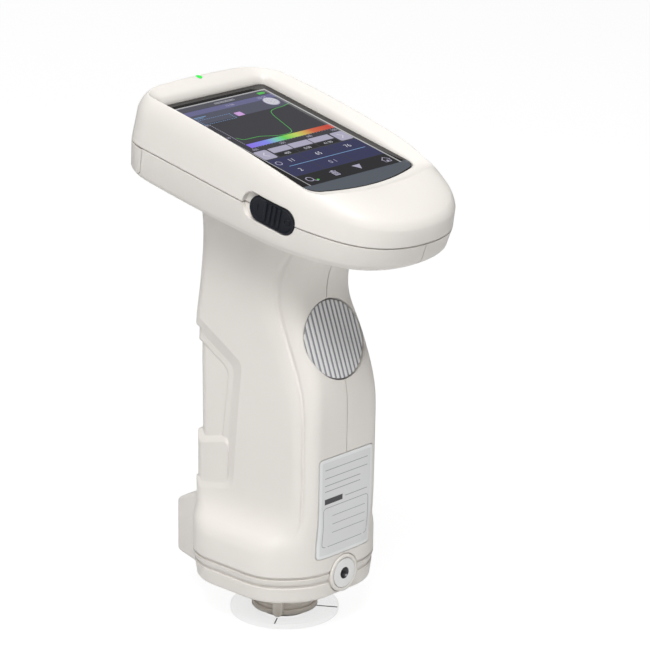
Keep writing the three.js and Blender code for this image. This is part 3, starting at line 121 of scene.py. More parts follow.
# Picture on the display: its shades, and the chart's curve in shares across and down the lit area
PRINT_LIFT = 0.01
AXIS_SHARE = 0.065
PICTURE_ROW = 0.153
PICTURE_ROW_SHADE = 0.93
PICTURE_SHADES = {
    "night": (0.048, 0.048, 0.056), "dusk": (0.09, 0.093, 0.13), "bar": (0.14, 0.14, 0.27),
    "status": (0.085, 0.085, 0.105), "cell": (0.035, 0.037, 0.095), "tools": (0.02, 0.02, 0.021),
    "lavender": (0.42, 0.4, 0.52), "pale": (0.62, 0.62, 0.68), "blue": (0.2, 0.36, 0.6),
    # The silver shade glows along the panel's edges as a painted highlight
    "pink": (0.62, 0.36, 0.72), "green": (0.1, 0.5, 0.1), "painted_edge_highlight": (0.45, 0.45, 0.46), "spectrum": None,
}
SPECTRUM = ((0.0, (0.25, 0.16, 0.75)), (0.22, (0.22, 0.26, 0.8)), (0.33, (0.2, 0.55, 0.45)),
            (0.42, (0.13, 0.6, 0.1)), (0.56, (0.5, 0.62, 0.12)), (0.66, (0.62, 0.4, 0.1)),
            (0.76, (0.6, 0.13, 0.06)), (1.0, (0.52, 0.05, 0.04)))
PICTURE_CURVE = ((0.085, 0.402), (0.12, 0.432), (0.2, 0.437), (0.29, 0.44), (0.38, 0.46), (0.47, 0.476),
                 (0.57, 0.476), (0.618, 0.455), (0.645, 0.4), (0.672, 0.33), (0.7, 0.265), (0.74, 0.225),
                 (0.81, 0.21), (0.9, 0.205), (0.99, 0.192))

# Grip and base
BASE_BOTTOM = 16
BASE_HALF_WIDTH = 32
BASE_FRONT = 31.6
BASE_REAR = 32.5
BASE_FLAT = 17
BASE_FRONT_CHAMFER = 13.5
BASE_REAR_CHAMFER = 13
BASE_TOP = 36
GRIP_TOP = 164
GRIP_REACH = 20
SECTION_CUT_SHARE = 0.45
SECTION_STRAIGHTS = 12
RIDGE_SHARES = (0.05, 0.14, 0.85, 1)
RIDGE_TIGHTNESS = 0.25
RIDGE_SCOOP = 0.7
SCOOP_SCALE = 3125 / 108
FLAT_FOLLOW_SHARE = 0.5
BOTTOM_EDGE = 1.6
BOTTOM_TAPER = 1
GROOVE_DEPTH = 0.7
GROOVE_EDGE = 0.15
UPPER_GROOVE = (26, 27.3)
LOWER_GROOVE = (22.3, 24)
GRIP_STATION_SHARES = np.array([
    (0, 1, 1, 1, 1, 1, 1),
    (0.03, 1.004, 0.998, 0.94, 0.99, 0.95, 0.87),
    (0.06, 1.01, 0.996, 0.81, 0.99, 0.82, 0.66),
    (0.09, 1.013, 0.995, 0.725, 1, 0.67, 0.46),
    (0.14, 1.013, 0.995, 0.678, 1.02, 0.57, 0.33),
    (0.34, 1.018, 0.997, 0.67, 1.03, 0.56, 0.3),
    (0.46, 1.018, 1.012, 0.66, 1.03, 0.63, 0.3),
    (0.545, 0.965, 1.026, 0.65, 1.01, 0.78, 0.3),
    (0.65, 0.812, 1.026, 0.64, 1, 0.93, 0.32),
    (0.75, 0.664, 0.992, 0.628, 0.91, 1.07, 0.35),
    (0.82, 0.66, 0.962, 0.625, 0.88, 1.15, 0.35),
    (0.89, 0.76, 0.93, 0.635, 0.86, 1.2, 0.35),
    (0.95, 0.96, 0.905, 0.66, 0.86, 1.3, 0.35),
    (1, 1.2, 0.885, 0.7, 0.88, 1.4, 0.35),
])
GRIP_RINGS = 80
CORE_RING_SHARES = (0, 0.06, 0.15, 0.3, 0.46, 0.6, 0.68, 0.75, 0.81, 0.87, 0.93, 1)

# Recess round the rear of the grip, its block, and the rear box
RECESS_FRONT = 4
RECESS_REAR = 33
RECESS_TOP = (106.8, 123)
RECESS_BOTTOM = (55.6, 48.7)
RECESS_LEAN = 4.2
RECESS_DEPTH = 1.9
RECESS_STEP_DEPTH = 1.45
RECESS_DROP_DEPTH = 1.6
RECESS_LEDGE_DEPTH = 1
RECESS_WIDTH = 8.8
RECESS_STEP_WIDTH = 5.4
RECESS_DROP_START = 8.3
RECESS_LEDGE_WIDTH = 4.2
RECESS_CORNER = 3.5
RECESS_STRAIGHTS = 24
BLOCK_FRONT = 11.5
BLOCK_TOP = (73, 67)
BLOCK_RISE = 1.35
BLOCK_SLOPE = 2.6
REAR_BOX_HALF_WIDTH = 14
REAR_BOX_ROOT_HALF_WIDTH = 21
REAR_BOX_ROOT = 22
REAR_BOX_REAR = 47.5
REAR_BOX_TOP = 38
REAR_BOX_RISE = 12
REAR_BOX_BOTTOM = 15.6
REAR_BOX_CORNER = 3
REAR_BOX_EDGE = 1.6

# Rear cap and charging port
CAP_START = 38.5
CAP_CORNER_LEVEL = -24
CAP_SLOPE_RUN = 7
CAP_SLOPE_DROP = 6
CAP_DROP = 0.4
PORT_HALF_WIDTH = 6
PORT_HALF_HEIGHT = 2.9
PORT_CORNER = 1.6
PORT_LEVEL = -19

# Power switch
SLIDER_PLACE = 30.2
SLIDER_FACE = 36.1
SLIDER_YAW = math.radians(3)
SLIDER_LEVEL = -12
SLIDER_HALF_LENGTH = 11
SLIDER_HALF_HEIGHT = 5.1
SLIDER_THICKNESS = 1.4
SLIDER_TRAVEL = 3.3
NECK_HALF_LENGTH = 2.2
NECK_HALF_HEIGHT = 1.6
PAD_THICKNESS = 1.6
PAD_BORDER = 2.5
SLIDER_CORE = -0.5
SLIDER_HOLLOW = ((0, -0.45), (0.08, -0.15), (0.3, 0), (0.75, 0.02), (1.1, -0.12), (1.4, -0.35), (2.2, -0.42))
SLIDER_RIBS = 4
SLIDER_RIB_PITCH = 2.25
SLIDER_RIB_HALF_WIDTH = 0.6
SLIDER_RIB_REACH_SHARE = 0.74
SLIDER_RIB_TOP_SHARES = (0.45, 0.96)
SLIDER_RIB_LEVELS = (-0.6, -0.05, 0.32)
CATCH_THICKNESS = 1.2
MARK_PLACE = 7.4

# Measuring button
BUTTON_HEIGHT = 119
BUTTON_FACE = 25.5
BUTTON_SLOPE = math.radians(20.5)
BUTTON_RADIUS = 15.5
BUTTON_CAP_DEPTH = 5.2
BUTTON_CROWN = 1
BUTTON_RIBS = 14
BUTTON_RIB_HEIGHT = 0.6
BUTTON_RIB_SIDE = ((-0.33, -1), (-0.29, -0.55), (-0.22, -0.15), (-0.09, 0))
BUTTON_EDGE = 0.35
LUG_REACH = 1.6
LUG_THICKNESS = 1
STEM_RADIUS = 3
STEM_LENGTH = 7

# Label, threaded insert, measuring port and stabilizer
LABEL_HALF_WIDTH = 14.8
LABEL_BOTTOM = 33.6
LABEL_TOP = 74.5
LABEL_CORNER = 1.5
LABEL_THICKNESS = 0.45
LABEL_PROUD = 0.1
LABEL_PRINT_LIFT = 0.05
LABEL_BORDER = 1.3
LABEL_MARGIN = 1.5
LABEL_RULE = 0.25
INSERT_HEIGHT = 24.6
COLLAR_RADIUS = 7.6
COLLAR_PROUD = 0.5
INSERT_RADIUS = 6
INSERT_LENGTH = 9
INSERT_BORE_RADIUS = 2
INSERT_BORE_DEPTH = 7.5
THREAD_START = 0.35
THREAD_PITCH = 0.7
SNOUT_RADIUS = 12
SNOUT_FLANGE_RADIUS = 17
SNOUT_FLANGE_THICKNESS = 1.5
SNOUT_SEAT_RADIUS = 8.4
SNOUT_SEAT_DEPTH = 4
SNOUT_BORE_RADIUS = 6.5
APERTURE_RADIUS = 4
NOSE_RADIUS = 9.5
NOSE_LIFT = 0.2
DISC_RADIUS = 21.65
DISC_HOLE_RADIUS = 10
DISC_THICKNESS = 2.2
DISC_EDGE = 0.3
RING_WIDTH = 0.8
RING_HEIGHT = 2
LEG_ANGLE = math.radians(57)
LEG_WIDTH = 4
LEG_DEPTH = 3.6
LEG_TOP = 14.4
LEG_CORNER = 0.6
LINE_ANGLE = math.radians(-33)
LIGHT_RADIUS = 1.5
LIGHT_FOOT = -8.5
LIGHT_DOME = 0.35
LIGHT_PLACE = 49.8

# Screws of the housing: places in depth and height, or across and along the screen
SCREW_HEAD_RADIUS = 2.4
SHELL_SCREW_SEAT = 7
SHELL_SCREW_PLACES = ((26, 44.5), (-19, 56.5), (27, 89.4), (-9, 153))
HEAD_SCREW_SEAT = -20.5
HEAD_SCREW_PLACES = ((-31.3, 33), (31.3, 33), (-20, -55), (20, -55))

# Finishes, camera, floor and light; lamps are in metres: name, place, aim, size and power
CLOUD_SCALE = 60
CLOUD_DETAIL = 4
GRAIN_DETAIL = 3
GRAIN_HEIGHT = 0.05
BEVEL_SAMPLES = 6
WHITE = (1, 1, 1, 1)
CAMERA_AZIMUTH = math.radians(-47.184)
CAMERA_ELEVATION = math.radians(17.943)
CAMERA_DISTANCE = 1146.25
CAMERA_ROLL = math.radians(0.785)
CAMERA_TARGET = Vector((12.278, -8.517, 117.804))
FOCAL_PIXELS = 2954.97
IMAGE_PIXELS = 650
SENSOR = 36
FLOOR_HALF_SIZE = 6
FLOOR_DROP = 0.1
FLOOR_COLOR = (0.78, 0.78, 0.78, 1)
FLOOR_GLOW = 1.14
FLOOR_GLOW_SHARES = (0.78, 0.02)
WORLD_LIGHT = 0.13
MIDDLE = (0, 0, 0.11)
LAMPS = (
    ("key", (-0.72, -0.58, 1.45), MIDDLE, (0.6, 0.6), 13.5),
    ("over", (0, 0, 0.9), (0, 0, 0), (1.6, 1.6), 3.6),
    ("near", (-0.45, -0.15, 0.75), MIDDLE, (0.7, 0.7), 2.6),
    ("low_front", (-0.3, -1.5, 0.7), MIDDLE, (0.8, 0.8), 0.6),
    ("front", (0.7, -1.1, 0.3), (0, 0, 0.06), (0.6, 0.4), 0.8),
    ("rear", (0.5, 1.3, 0.8), MIDDLE, (0.8, 0.8), 1.5),
)

# How finely round shapes are cut
CORNER_STEPS = 8
STRAIGHT_STEPS = 3
ROUND_STEPS = 96
SMALL_ROUND_STEPS = 48
SMOOTH_ANGLE = math.radians(32)
CREASE_ANGLE = math.radians(2.5)
surface_numbers = itertools.count(1)


def bezier(points, steps):
    """Points along a Bezier curve of any order, without its last."""
    points = np.array(points, float)
    order = len(points) - 1
    t = np.arange(steps)[:, None] / steps
    weights = [math.comb(order, k) * t**k * (1 - t)**(order - k) for k in range(order + 1)]
    return sum(weight * point for weight, point in zip(weights, points))


def rounded_loop(corners, steps=CORNER_STEPS, straights=STRAIGHT_STEPS, scoops=()):
    """A closed outline whose corners (x, y, cut) are rounded by curves starting a cut before them. A scoop
    (depth, whether it is towards the end) hollows the stretch after its corner."""
    points = [np.array(corner[:2], float) for corner in corners]
    ends = []
    for i, here in enumerate(points):
        start, end = (here + (other - here) / np.linalg.norm(other - here) * corners[i][2]
                      for other in (points[i - 1], points[(i + 1) % len(points)]))
        ends.append((start, here, end))
    loop = []
    for i, (start, here, end) in enumerate(ends):
        following = ends[(i + 1) % len(ends)][0]
        stretch = bezier((end, following), straights)
        if i in scoops:
            depth, at_end = scoops[i]
            t = np.arange(1, len(stretch) + 1) / (len(stretch) + 1)
            hollow = SCOOP_SCALE * (t**3 * (1 - t)**2 if at_end else t**2 * (1 - t)**3)
            along = (following - end) / np.linalg.norm(following - end)
            stretch = stretch + np.outer(hollow * depth, (-along[1], along[0]))
        loop += [bezier((start, here, end), steps), stretch]
    return np.concatenate(loop)


def rounded_box(x0, x1, y0, y1, cut, steps=CORNER_STEPS, straights=1):
    return rounded_loop([(x0, y0, cut), (x1, y0, cut), (x1, y1, cut), (x0, y1, cut)], steps, straights)


def stadium(half_length, radius, steps=24):
    angles = np.linspace(-math.pi / 2, math.pi / 2, steps + 1)
    right = np.stack([half_length - radius + radius * np.cos(angles), radius * np.sin(angles)], -1)
    return np.concatenate([right, -right])


def circle(radius, steps=ROUND_STEPS):
    angles = np.linspace(0, 2 * math.pi, steps, endpoint=False)
    return np.stack([radius * np.cos(angles), radius * np.sin(angles)], -1)


def in_head(points):
    """Points of the head's frame, over the measuring axis."""
    x, v, w = points.T
    cos, sin = math.cos(SCREEN_TILT), math.sin(SCREEN_TILT)
    return np.stack([x, SCREEN_SETBACK + v * cos - w * sin, SCREEN_HEIGHT + v * sin + w * cos], -1)


def in_button(points):
    """Points of the button's frame: x across, y up its slope, z out of its face."""
    x, y, z = points.T
    cos, sin = math.cos(BUTTON_SLOPE), math.sin(BUTTON_SLOPE)
    return np.stack([x, -BUTTON_FACE + y * sin - z * cos, BUTTON_HEIGHT + y * cos + z * sin], -1)


def in_slider(points):
    """Points of the power switch's frame: x towards the nose, y up the flank, z out of it."""
    x, y, z = points.T
    cos, sin = math.cos(SLIDER_YAW), math.sin(SLIDER_YAW)
    across = -SLIDER_FACE + x * sin - z * cos
    along = -SLIDER_PLACE - x * cos - z * sin
    return in_head(np.stack([across, along, SLIDER_LEVEL + y], -1))


def in_front(points):
    """Points that lie across and up, with the third value towards the user."""
    x, up, out = points.T
    return np.stack([x, -out, up], -1)


def upright(points):
    return points


def moved(place, *offset):
    """A place whose points are moved by an offset first."""
    return lambda points: place(points + offset)


def edgewise(place):
    """A place for an outline that stands on its edge, so that its second value goes out."""
    return lambda points: place(points[:, (0, 2, 1)])


def in_frame(points):
    return (points + (0, AXIS_Y, 0)) * MM


def solid(vertices, faces, bands=None):
    """A closed mesh from points over the measuring axis; its faces keep the number of their surface."""
    mesh = bpy.data.meshes.new("solid")
    mesh.from_pydata(in_frame(vertices).tolist(), [], faces)
    shape = bmesh.new()
    shape.from_mesh(mesh)
    surface = shape.faces.layers.int.new("surface")
    first = next(surface_numbers) * 1000
    shape.faces.ensure_lookup_table()
    for face in shape.faces:
        face[surface] = first + (bands[face.index] if bands else 0)
    bmesh.ops.remove_doubles(shape, verts=shape.verts, dist=1e-3 * MM)
    bmesh.ops.dissolve_degenerate(shape, edges=shape.edges, dist=1e-4 * MM)
    bmesh.ops.recalc_face_normals(shape, faces=shape.faces)
    shape.to_mesh(mesh)
    shape.free()
    return linked(mesh)


def linked(data, name="solid"):
    piece = bpy.data.objects.new(name, data)
    bpy.context.scene.collection.objects.link(piece)
    return piece


def loft(rings, place=upright, crisp=False):
    """Rings of as many points each, stacked and closed at both ends, with a crease at each ring if crisp."""
    count = len(rings[0])
    middles = [np.mean(rings[0], 0)[None], np.mean(rings[-1], 0)[None]]
    vertices = place(np.concatenate([*rings, *middles]))
    faces = []
    for level in range(len(rings) - 1):
        low, high = level * count, (level + 1) * count
        faces += [(low + i, low + (i + 1) % count, high + (i + 1) % count, high + i) for i in range(count)]
    last, bottom = (len(rings) - 1) * count, len(rings) * count
    faces += [((i + 1) % count, i, bottom) for i in range(count)]
    faces += [(last + i, last + (i + 1) % count, bottom + 1) for i in range(count)]
    return solid(vertices, faces, [k // count for k in range(len(faces))] if crisp else None)


def flat_ring(outline, level):
    return np.column_stack([outline, np.full(len(outline), float(level))])


def slab(outline, low, high, place=upright):
    return loft([flat_ring(outline, low), flat_ring(outline, high)], place)


def block(x0, x1, y0, y1, z0, z1, place=upright):
    return slab(np.array([(x0, y0), (x1, y0), (x1, y1), (x0, y1)], float), z0, z1, place)


def turned(profile, place=upright, steps=ROUND_STEPS):
    """A closed profile of radius and height turned about the vertical axis."""
    profile = np.asarray(profile, float)
    count = len(profile)
    angles = np.linspace(0, 2 * math.pi, steps, endpoint=False)
    rings = [np.stack([r * np.cos(angles), r * np.sin(angles), np.full(steps, h)], -1) for r, h in profile]
    faces = []
    for k in range(count):
        low, high = k * steps, ((k + 1) % count) * steps
        faces += [(low + i, low + (i + 1) % steps, high + (i + 1) % steps, high + i) for i in range(steps)]
    return solid(place(np.concatenate(rings)), faces)


def combined(operation, base, *others):
    """The base after one boolean step with each of the others, which are used up."""
    for other in others:
        modifier = base.modifiers.new("step", "BOOLEAN")
        modifier.operation = operation
        modifier.solver = "MANIFOLD"
        modifier.object = other
    graph = bpy.context.evaluated_depsgraph_get()
    result = linked(bpy.data.meshes.new_from_object(base.evaluated_get(graph)))
    for spare in (base, *others):
        bpy.data.objects.remove(spare)
    return result


def union(base, *others):
    return combined("UNION", base, *others)


def cut(base, *others):
    return combined("DIFFERENCE", base, *others)


def common(base, *others):
    return combined("INTERSECT", base, *others)


def copied(piece):
    return linked(piece.data.copy())


# The head's surfaces
def through(levels, t):
    """The height of a smooth curve through three levels, at t of -1, 0 and 1."""
    rear, middle, nose = levels
    return middle + (nose - rear) / 2 * t + ((nose + rear) / 2 - middle) * t * t


def level_at(levels, v):
    return through(levels, (HEAD_REAR - HEAD_NOSE - 2 * v) / (HEAD_REAR + HEAD_NOSE))


def head_outline(inset):
    half, nose, rear = HEAD_HALF_WIDTH - inset, HEAD_NOSE - inset, HEAD_REAR - inset
    taper = nose - HEAD_TAPER_START

    def at(x, y):
        return (half * x, -HEAD_TAPER_START - taper * y)

    side = (half, -HEAD_TAPER_START)
    corner = np.array([half, rear - HEAD_REAR_BOW])
    start = corner - (0, HEAD_REAR_CORNER)
    end = corner - (HEAD_REAR_CORNER, 0)
    handles = [place + (corner - place) * HEAD_CORNER_SHARE for place in (start, end)]
    curves = (
        (at(0, 1), at(NOSE_HANDLE_SHARE, 1), at(*NOSE_CORNER_SHARES), at(*FLANK_SHARES)),
        (at(*FLANK_SHARES), at(*FLANK_HANDLE_SHARES), at(1, SIDE_HANDLE_SHARE), side),
        (side, start), (start, *handles, end), (end, (end[0] / 2, rear), (0, rear)),
    )
    right = np.concatenate([bezier(curve, steps) for curve, steps in zip(curves, HEAD_CURVE_STEPS)])
    left = right[:0:-1] * (-1, 1)
    return np.concatenate([right, [(0, rear)], left])


def head_ring(inset, level, lift=0):
    outline = head_outline(inset)
    return np.column_stack([outline, level_at(level, outline[:, 1]) + lift])


def between(low, high, share):
    return tuple(a + (b - a) * share for a, b in zip(low, high))


def glass_outline(grow, rear_grow=None):
    rear_grow = grow if rear_grow is None else rear_grow
    half = GLASS_HALF_WIDTH + grow
    side, middle = GLASS_NOSE_SIDE + grow, GLASS_NOSE_MIDDLE + grow
    rear = GLASS_REAR + rear_grow
    return rounded_loop([
        (-half, -side, GLASS_CORNER), (0, -(2 * middle - side), half * GLASS_BULGE_SHARE),
        (half, -side, GLASS_CORNER), (half, rear, GLASS_REAR_CORNER + rear_grow),
        (-half, rear, GLASS_REAR_CORNER + rear_grow),
    ], 14, 10)


def dish_ring(grow, rear_grow, lift):
    outline = glass_outline(grow, rear_grow)
    return np.column_stack([outline, through(DISH_SHOULDER_LEVEL, -outline[:, 1] / GLASS_REAR) + lift])


ROOF = (ROOF_LEVEL, ROOF_LEVEL, ROOF_LEVEL - ROOF_DROP)
SEAT_LEVEL = GLASS_TOP - GLASS_THICKNESS - GAP


def top_outer():
    start, end = (BAND_INSET, 0), (CREST_INSET, 1)
    handle = (BAND_INSET + (CREST_INSET - BAND_INSET) * BEVEL_SHARES[0], BEVEL_SHARES[1])
    bevel = bezier((start, handle, end), 8)
    return loft([
        head_ring(0, PARTING_LEVEL, PARTING_GAP / 2),
        head_ring(BAND_INSET / 2, between(PARTING_LEVEL, BAND_LEVEL, 1 / 2)),
        *(head_ring(inset, between(BAND_LEVEL, CREST_LEVEL, share)) for inset, share in bevel),
        head_ring(CREST_INSET, CREST_LEVEL),
        head_ring((CREST_INSET + CROWN_INSET) / 2, between(CREST_LEVEL, CROWN_LEVEL, RIM_SHARE)),
        head_ring(CROWN_INSET, CROWN_LEVEL),
        head_ring(2 * CROWN_INSET, CROWN_LEVEL),
    ], in_head)


def top_inner(depth):
    return loft([
        head_ring(depth, PARTING_LEVEL, -OVERRUN),
        head_ring(depth + BAND_INSET, BAND_LEVEL, -OVERRUN),
        head_ring(depth + CREST_INSET, ROOF, WALL - depth),
    ], in_head)


# The grip's surfaces
def station_at(share):
    rows = GRIP_STATION_SHARES
    k = max(int(np.argmax(rows[:, 0] >= share)), 1)
    low, high = rows[k - 1], rows[k]
    span = high[0] - low[0]
    t = (share - low[0]) / span
    before, after = rows[max(k - 2, 0)], rows[min(k + 1, len(rows) - 1)]
    m0 = (high - before) / (high[0] - before[0]) * span
    m1 = (after - low) / (after[0] - low[0]) * span
    return ((2 * t**3 - 3 * t**2 + 1) * low + (t**3 - 2 * t**2 + t) * m0
            + (3 * t**2 - 2 * t**3) * high + (t**3 - t**2) * m1)


def section_ring(z, share, inset):
    _, front, rear, width, flat, chamfer, rear_chamfer = station_at(share)
    half = BASE_HALF_WIDTH * width - inset
    near = -(BASE_FRONT * front - inset)
    back = BASE_REAR * rear - inset
    flat_half = BASE_FLAT * flat - inset * FLAT_FOLLOW_SHARE
    ridge = near + BASE_FRONT_CHAMFER * chamfer
    bevel = BASE_REAR_CHAMFER * rear_chamfer
    front_cut = math.hypot(half - flat_half, ridge - near) * SECTION_CUT_SHARE
    rear_cut = math.hypot(bevel, bevel) * SECTION_CUT_SHARE
    crisp = np.interp(share, RIDGE_SHARES, (0, 1, 1, 0))
    ridge_cut = front_cut * (1 - crisp * RIDGE_TIGHTNESS)
    right = [(flat_half, near, front_cut), (half, ridge, ridge_cut), (half, back - bevel, rear_cut),
             (half - bevel, back, rear_cut)]
    left = [(-x, y, cut_size) for x, y, cut_size in reversed(right)]
    scoops = {0: (RIDGE_SCOOP * crisp, True), 6: (RIDGE_SCOOP * crisp, False)}
    return flat_ring(rounded_loop(right + left, CORNER_STEPS, SECTION_STRAIGHTS, scoops), z)


def grip_rings(inset, shares):
    return [section_ring(BASE_TOP + (GRIP_TOP - BASE_TOP) * share, share, inset) for share in shares]


def base_rings():
    def groove(low, high, inset):
        return [(low, inset), (low + GROOVE_EDGE, inset + GROOVE_DEPTH),
                (high - GROOVE_EDGE, inset + GROOVE_DEPTH), (high, inset)]

    foot = bezier(((BASE_BOTTOM, BOTTOM_TAPER + BOTTOM_EDGE), (BASE_BOTTOM, BOTTOM_TAPER),
                   (BASE_BOTTOM + BOTTOM_EDGE, BOTTOM_TAPER)), 6)
    rows = [*foot, (BASE_BOTTOM + BOTTOM_EDGE, BOTTOM_TAPER), *groove(*LOWER_GROOVE, BOTTOM_TAPER / 2),
            *groove(*UPPER_GROOVE, 0)]
    return [section_ring(z, 0, inset) for z, inset in rows]


def grip_loft(inset, rings=(), shares=None):
    shares = np.linspace(0, 1, GRIP_RINGS + 1) if shares is None else shares
    over = section_ring(GRIP_TOP, 1, inset) + (0, 0, GRIP_REACH)
    return loft([*rings, *grip_rings(inset, shares), over])


def rear_box_loft(inset):
    root, half = REAR_BOX_ROOT_HALF_WIDTH - inset, REAR_BOX_HALF_WIDTH - inset

    def ring(z, edge, rise):
        rear = REAR_BOX_REAR - inset - edge
        outline = rounded_loop([
            (-root + edge, REAR_BOX_ROOT, REAR_BOX_CORNER), (root - edge, REAR_BOX_ROOT, REAR_BOX_CORNER),
            (half - edge, rear, REAR_BOX_CORNER), (-half + edge, rear, REAR_BOX_CORNER),
        ])
        share = (REAR_BOX_REAR - outline[:, 1]) / (REAR_BOX_REAR - REAR_BOX_ROOT)
        return np.column_stack([outline, z + rise * share])

    low, high = REAR_BOX_BOTTOM + inset, REAR_BOX_TOP - inset
    turn = bezier(((0, 1), (0, 0), (1, 0)), 5)
    rows = [(low + REAR_BOX_EDGE * up, REAR_BOX_EDGE * edge, 0) for up, edge in turn]
    rows += [(low + REAR_BOX_EDGE, 0, 0), (high - REAR_BOX_EDGE, 0, REAR_BOX_RISE)]
    rows += [(high - REAR_BOX_EDGE * up, REAR_BOX_EDGE * edge, REAR_BOX_RISE) for up, edge in turn[::-1]]
    return loft([ring(*row) for row in rows])


def recess_outline(grow):
    length = RECESS_REAR - RECESS_FRONT
    rise, fall = (RECESS_TOP[1] - RECESS_TOP[0]) / length, (RECESS_BOTTOM[0] - RECESS_BOTTOM[1]) / length

    def top(y):
        return RECESS_TOP[0] + rise * (y - RECESS_FRONT) + grow * math.hypot(1, rise)

    def bottom(y):
        return RECESS_BOTTOM[0] - fall * (y - RECESS_FRONT) - grow * math.hypot(1, fall)

    front, rear = RECESS_FRONT - grow, RECESS_REAR + GRIP_REACH
    foot = front + RECESS_LEAN
    return rounded_loop([(foot, bottom(foot), RECESS_CORNER), (rear, bottom(rear), RECESS_CORNER),
                         (rear, top(rear), RECESS_CORNER), (front, top(front), RECESS_CORNER)],
                        straights=RECESS_STRAIGHTS)


def block_outline(grow):
    rear = RECESS_REAR + GRIP_REACH
    fall = (BLOCK_TOP[0] - BLOCK_TOP[1]) / (RECESS_REAR - BLOCK_FRONT)
    top, low = BLOCK_TOP[0] + grow, BLOCK_TOP[0] - FAR
    return rounded_loop([(BLOCK_FRONT, low, RECESS_CORNER), (rear, low, RECESS_CORNER),
                         (rear, top - fall * (rear - BLOCK_FRONT), RECESS_CORNER),
                         (BLOCK_FRONT, top, RECESS_CORNER)], straights=RECESS_STRAIGHTS)


def flank_at(z):
    return BASE_HALF_WIDTH * station_at(min(max((z - BASE_TOP) / (GRIP_TOP - BASE_TOP), 0), 1))[3]


def loft_across(rows):
    """Outlines in depth and height at given depths under the grip's flanks, from the left one's skin inwards
    and out to the right one's."""
    rings = []
    for sign, ordered in ((-1, rows[::-1]), (1, rows)):
        for depth, outline in ordered:
            flank = np.array([flank_at(z) for z in outline[:, 1]])
            rings.append(np.column_stack([sign * (flank - depth), outline]))
    return loft(rings, crisp=True)


def slab_across(outline, low=-FAR, high=FAR, place=upright):
    """A solid from one place to another across, with an outline of the other two values."""
    return loft([np.column_stack([np.full(len(outline), float(x)), outline]) for x in (low, high)], place)


def above_in_head(level):
    return block(-FAR, FAR, -FAR, FAR, level, FAR, in_head)


def lower_head():
    out, down = LOWER_BEVEL_HANDLE
    edge = bezier(((LOWER_BAND_INSET, 0), (LOWER_BAND_INSET + out, down), (LOWER_BEVEL_INSET, 1)), 6)
    return loft([
        head_ring(LOWER_BEVEL_INSET, LOWER_BAND_LEVEL, -LOWER_BEVEL_DROP),
        *(head_ring(inset, LOWER_BAND_LEVEL, -LOWER_BEVEL_DROP * drop) for inset, drop in edge[::-1]),
        head_ring(0, PARTING_LEVEL, -PARTING_GAP / 2),
    ], in_head)


JOIN_LEVEL = (PARTING_LEVEL[1] + LOWER_BAND_LEVEL[1]) / 2
BASE_FLOOR = BASE_BOTTOM + WALL


def outer_body():
    grip = cut(grip_loft(0, base_rings()), above_in_head(JOIN_LEVEL))
    drop_width, drop_depth = RECESS_WIDTH - RECESS_DROP_START, RECESS_DEPTH - RECESS_DROP_DEPTH
    sloped = cut(loft_across([
        (RECESS_DEPTH + drop_depth, recess_outline(-RECESS_WIDTH - drop_width)),
        (RECESS_DROP_DEPTH, recess_outline(-RECESS_DROP_START)),
        (RECESS_STEP_DEPTH, recess_outline(-RECESS_STEP_WIDTH)),
        (0, recess_outline(0)),
        (-OVERRUN, recess_outline(OVERRUN * RECESS_STEP_WIDTH / RECESS_STEP_DEPTH)),
    ]), grip_loft(RECESS_DEPTH))
    ledge = cut(slab_across(recess_outline(-RECESS_LEDGE_WIDTH)), grip_loft(RECESS_LEDGE_DEPTH))
    skin_depth = RECESS_DEPTH - BLOCK_RISE
    raised = common(loft_across([
        (skin_depth + 2 * BLOCK_RISE, block_outline(2 * BLOCK_SLOPE)),
        (skin_depth - BLOCK_RISE, block_outline(-BLOCK_SLOPE)),
        (-OVERRUN, block_outline(-BLOCK_SLOPE)),
    ]), grip_loft(skin_depth))
    recess = cut(union(sloped, ledge), raised)
    return union(cut(grip, recess), rear_box_loft(0), lower_head())


def inner_body(depth):
    thick = depth + GROOVE_DEPTH
    foot = [section_ring(BASE_BOTTOM + depth, 0, thick + BOTTOM_TAPER),
            section_ring(UPPER_GROOVE[1] + depth, 0, thick)]
    backed = cut(slab_across(recess_outline(depth)), grip_loft(depth + RECESS_DEPTH, (), CORE_RING_SHARES))
    grip = cut(grip_loft(depth, foot, CORE_RING_SHARES), backed)
    head = loft([
        head_ring(LOWER_BEVEL_INSET + depth / 2, LOWER_BAND_LEVEL, depth - LOWER_BEVEL_DROP),
        head_ring(LOWER_BAND_INSET + depth, LOWER_BAND_LEVEL, depth / 2),
        head_ring(depth, PARTING_LEVEL, OVERRUN),
    ], in_head)
    return union(grip, rear_box_loft(depth), head)


BUTTON_BORE = BUTTON_RADIUS + GAP
SLOT_FLOOR = -SLIDER_THICKNESS - GAP
PAD_END = SLOT_FLOOR - PAD_THICKNESS
SLOT_HALF_LENGTH = SLIDER_HALF_LENGTH + SLIDER_TRAVEL / 2 + GAP


def shifted(outline, x):
    return outline + (x, 0)


def switch_pad():
    outline = stadium(SLOT_HALF_LENGTH + PAD_BORDER, SLIDER_HALF_HEIGHT + GAP + PAD_BORDER)
    return slab(shifted(outline, -SLIDER_TRAVEL / 2), PAD_END, SLOT_FLOOR - GAP, in_slider)


def switch_cuts():
    slot = shifted(stadium(SLOT_HALF_LENGTH, SLIDER_HALF_HEIGHT + GAP), -SLIDER_TRAVEL / 2)
    length, height = NECK_HALF_LENGTH + SLIDER_TRAVEL / 2 + GAP, NECK_HALF_HEIGHT + GAP
    neck = shifted(rounded_box(-length, length, -height, height, GAP), -SLIDER_TRAVEL / 2)
    return [slab(slot, SLOT_FLOOR, FAR, in_slider),
            slab(neck, PAD_END - OVERRUN, SLOT_FLOOR + OVERRUN, in_slider)]


def parting_space(low, high):
    return loft([head_ring(-OVERRUN, PARTING_LEVEL, low), head_ring(-OVERRUN, PARTING_LEVEL, high)], in_head)


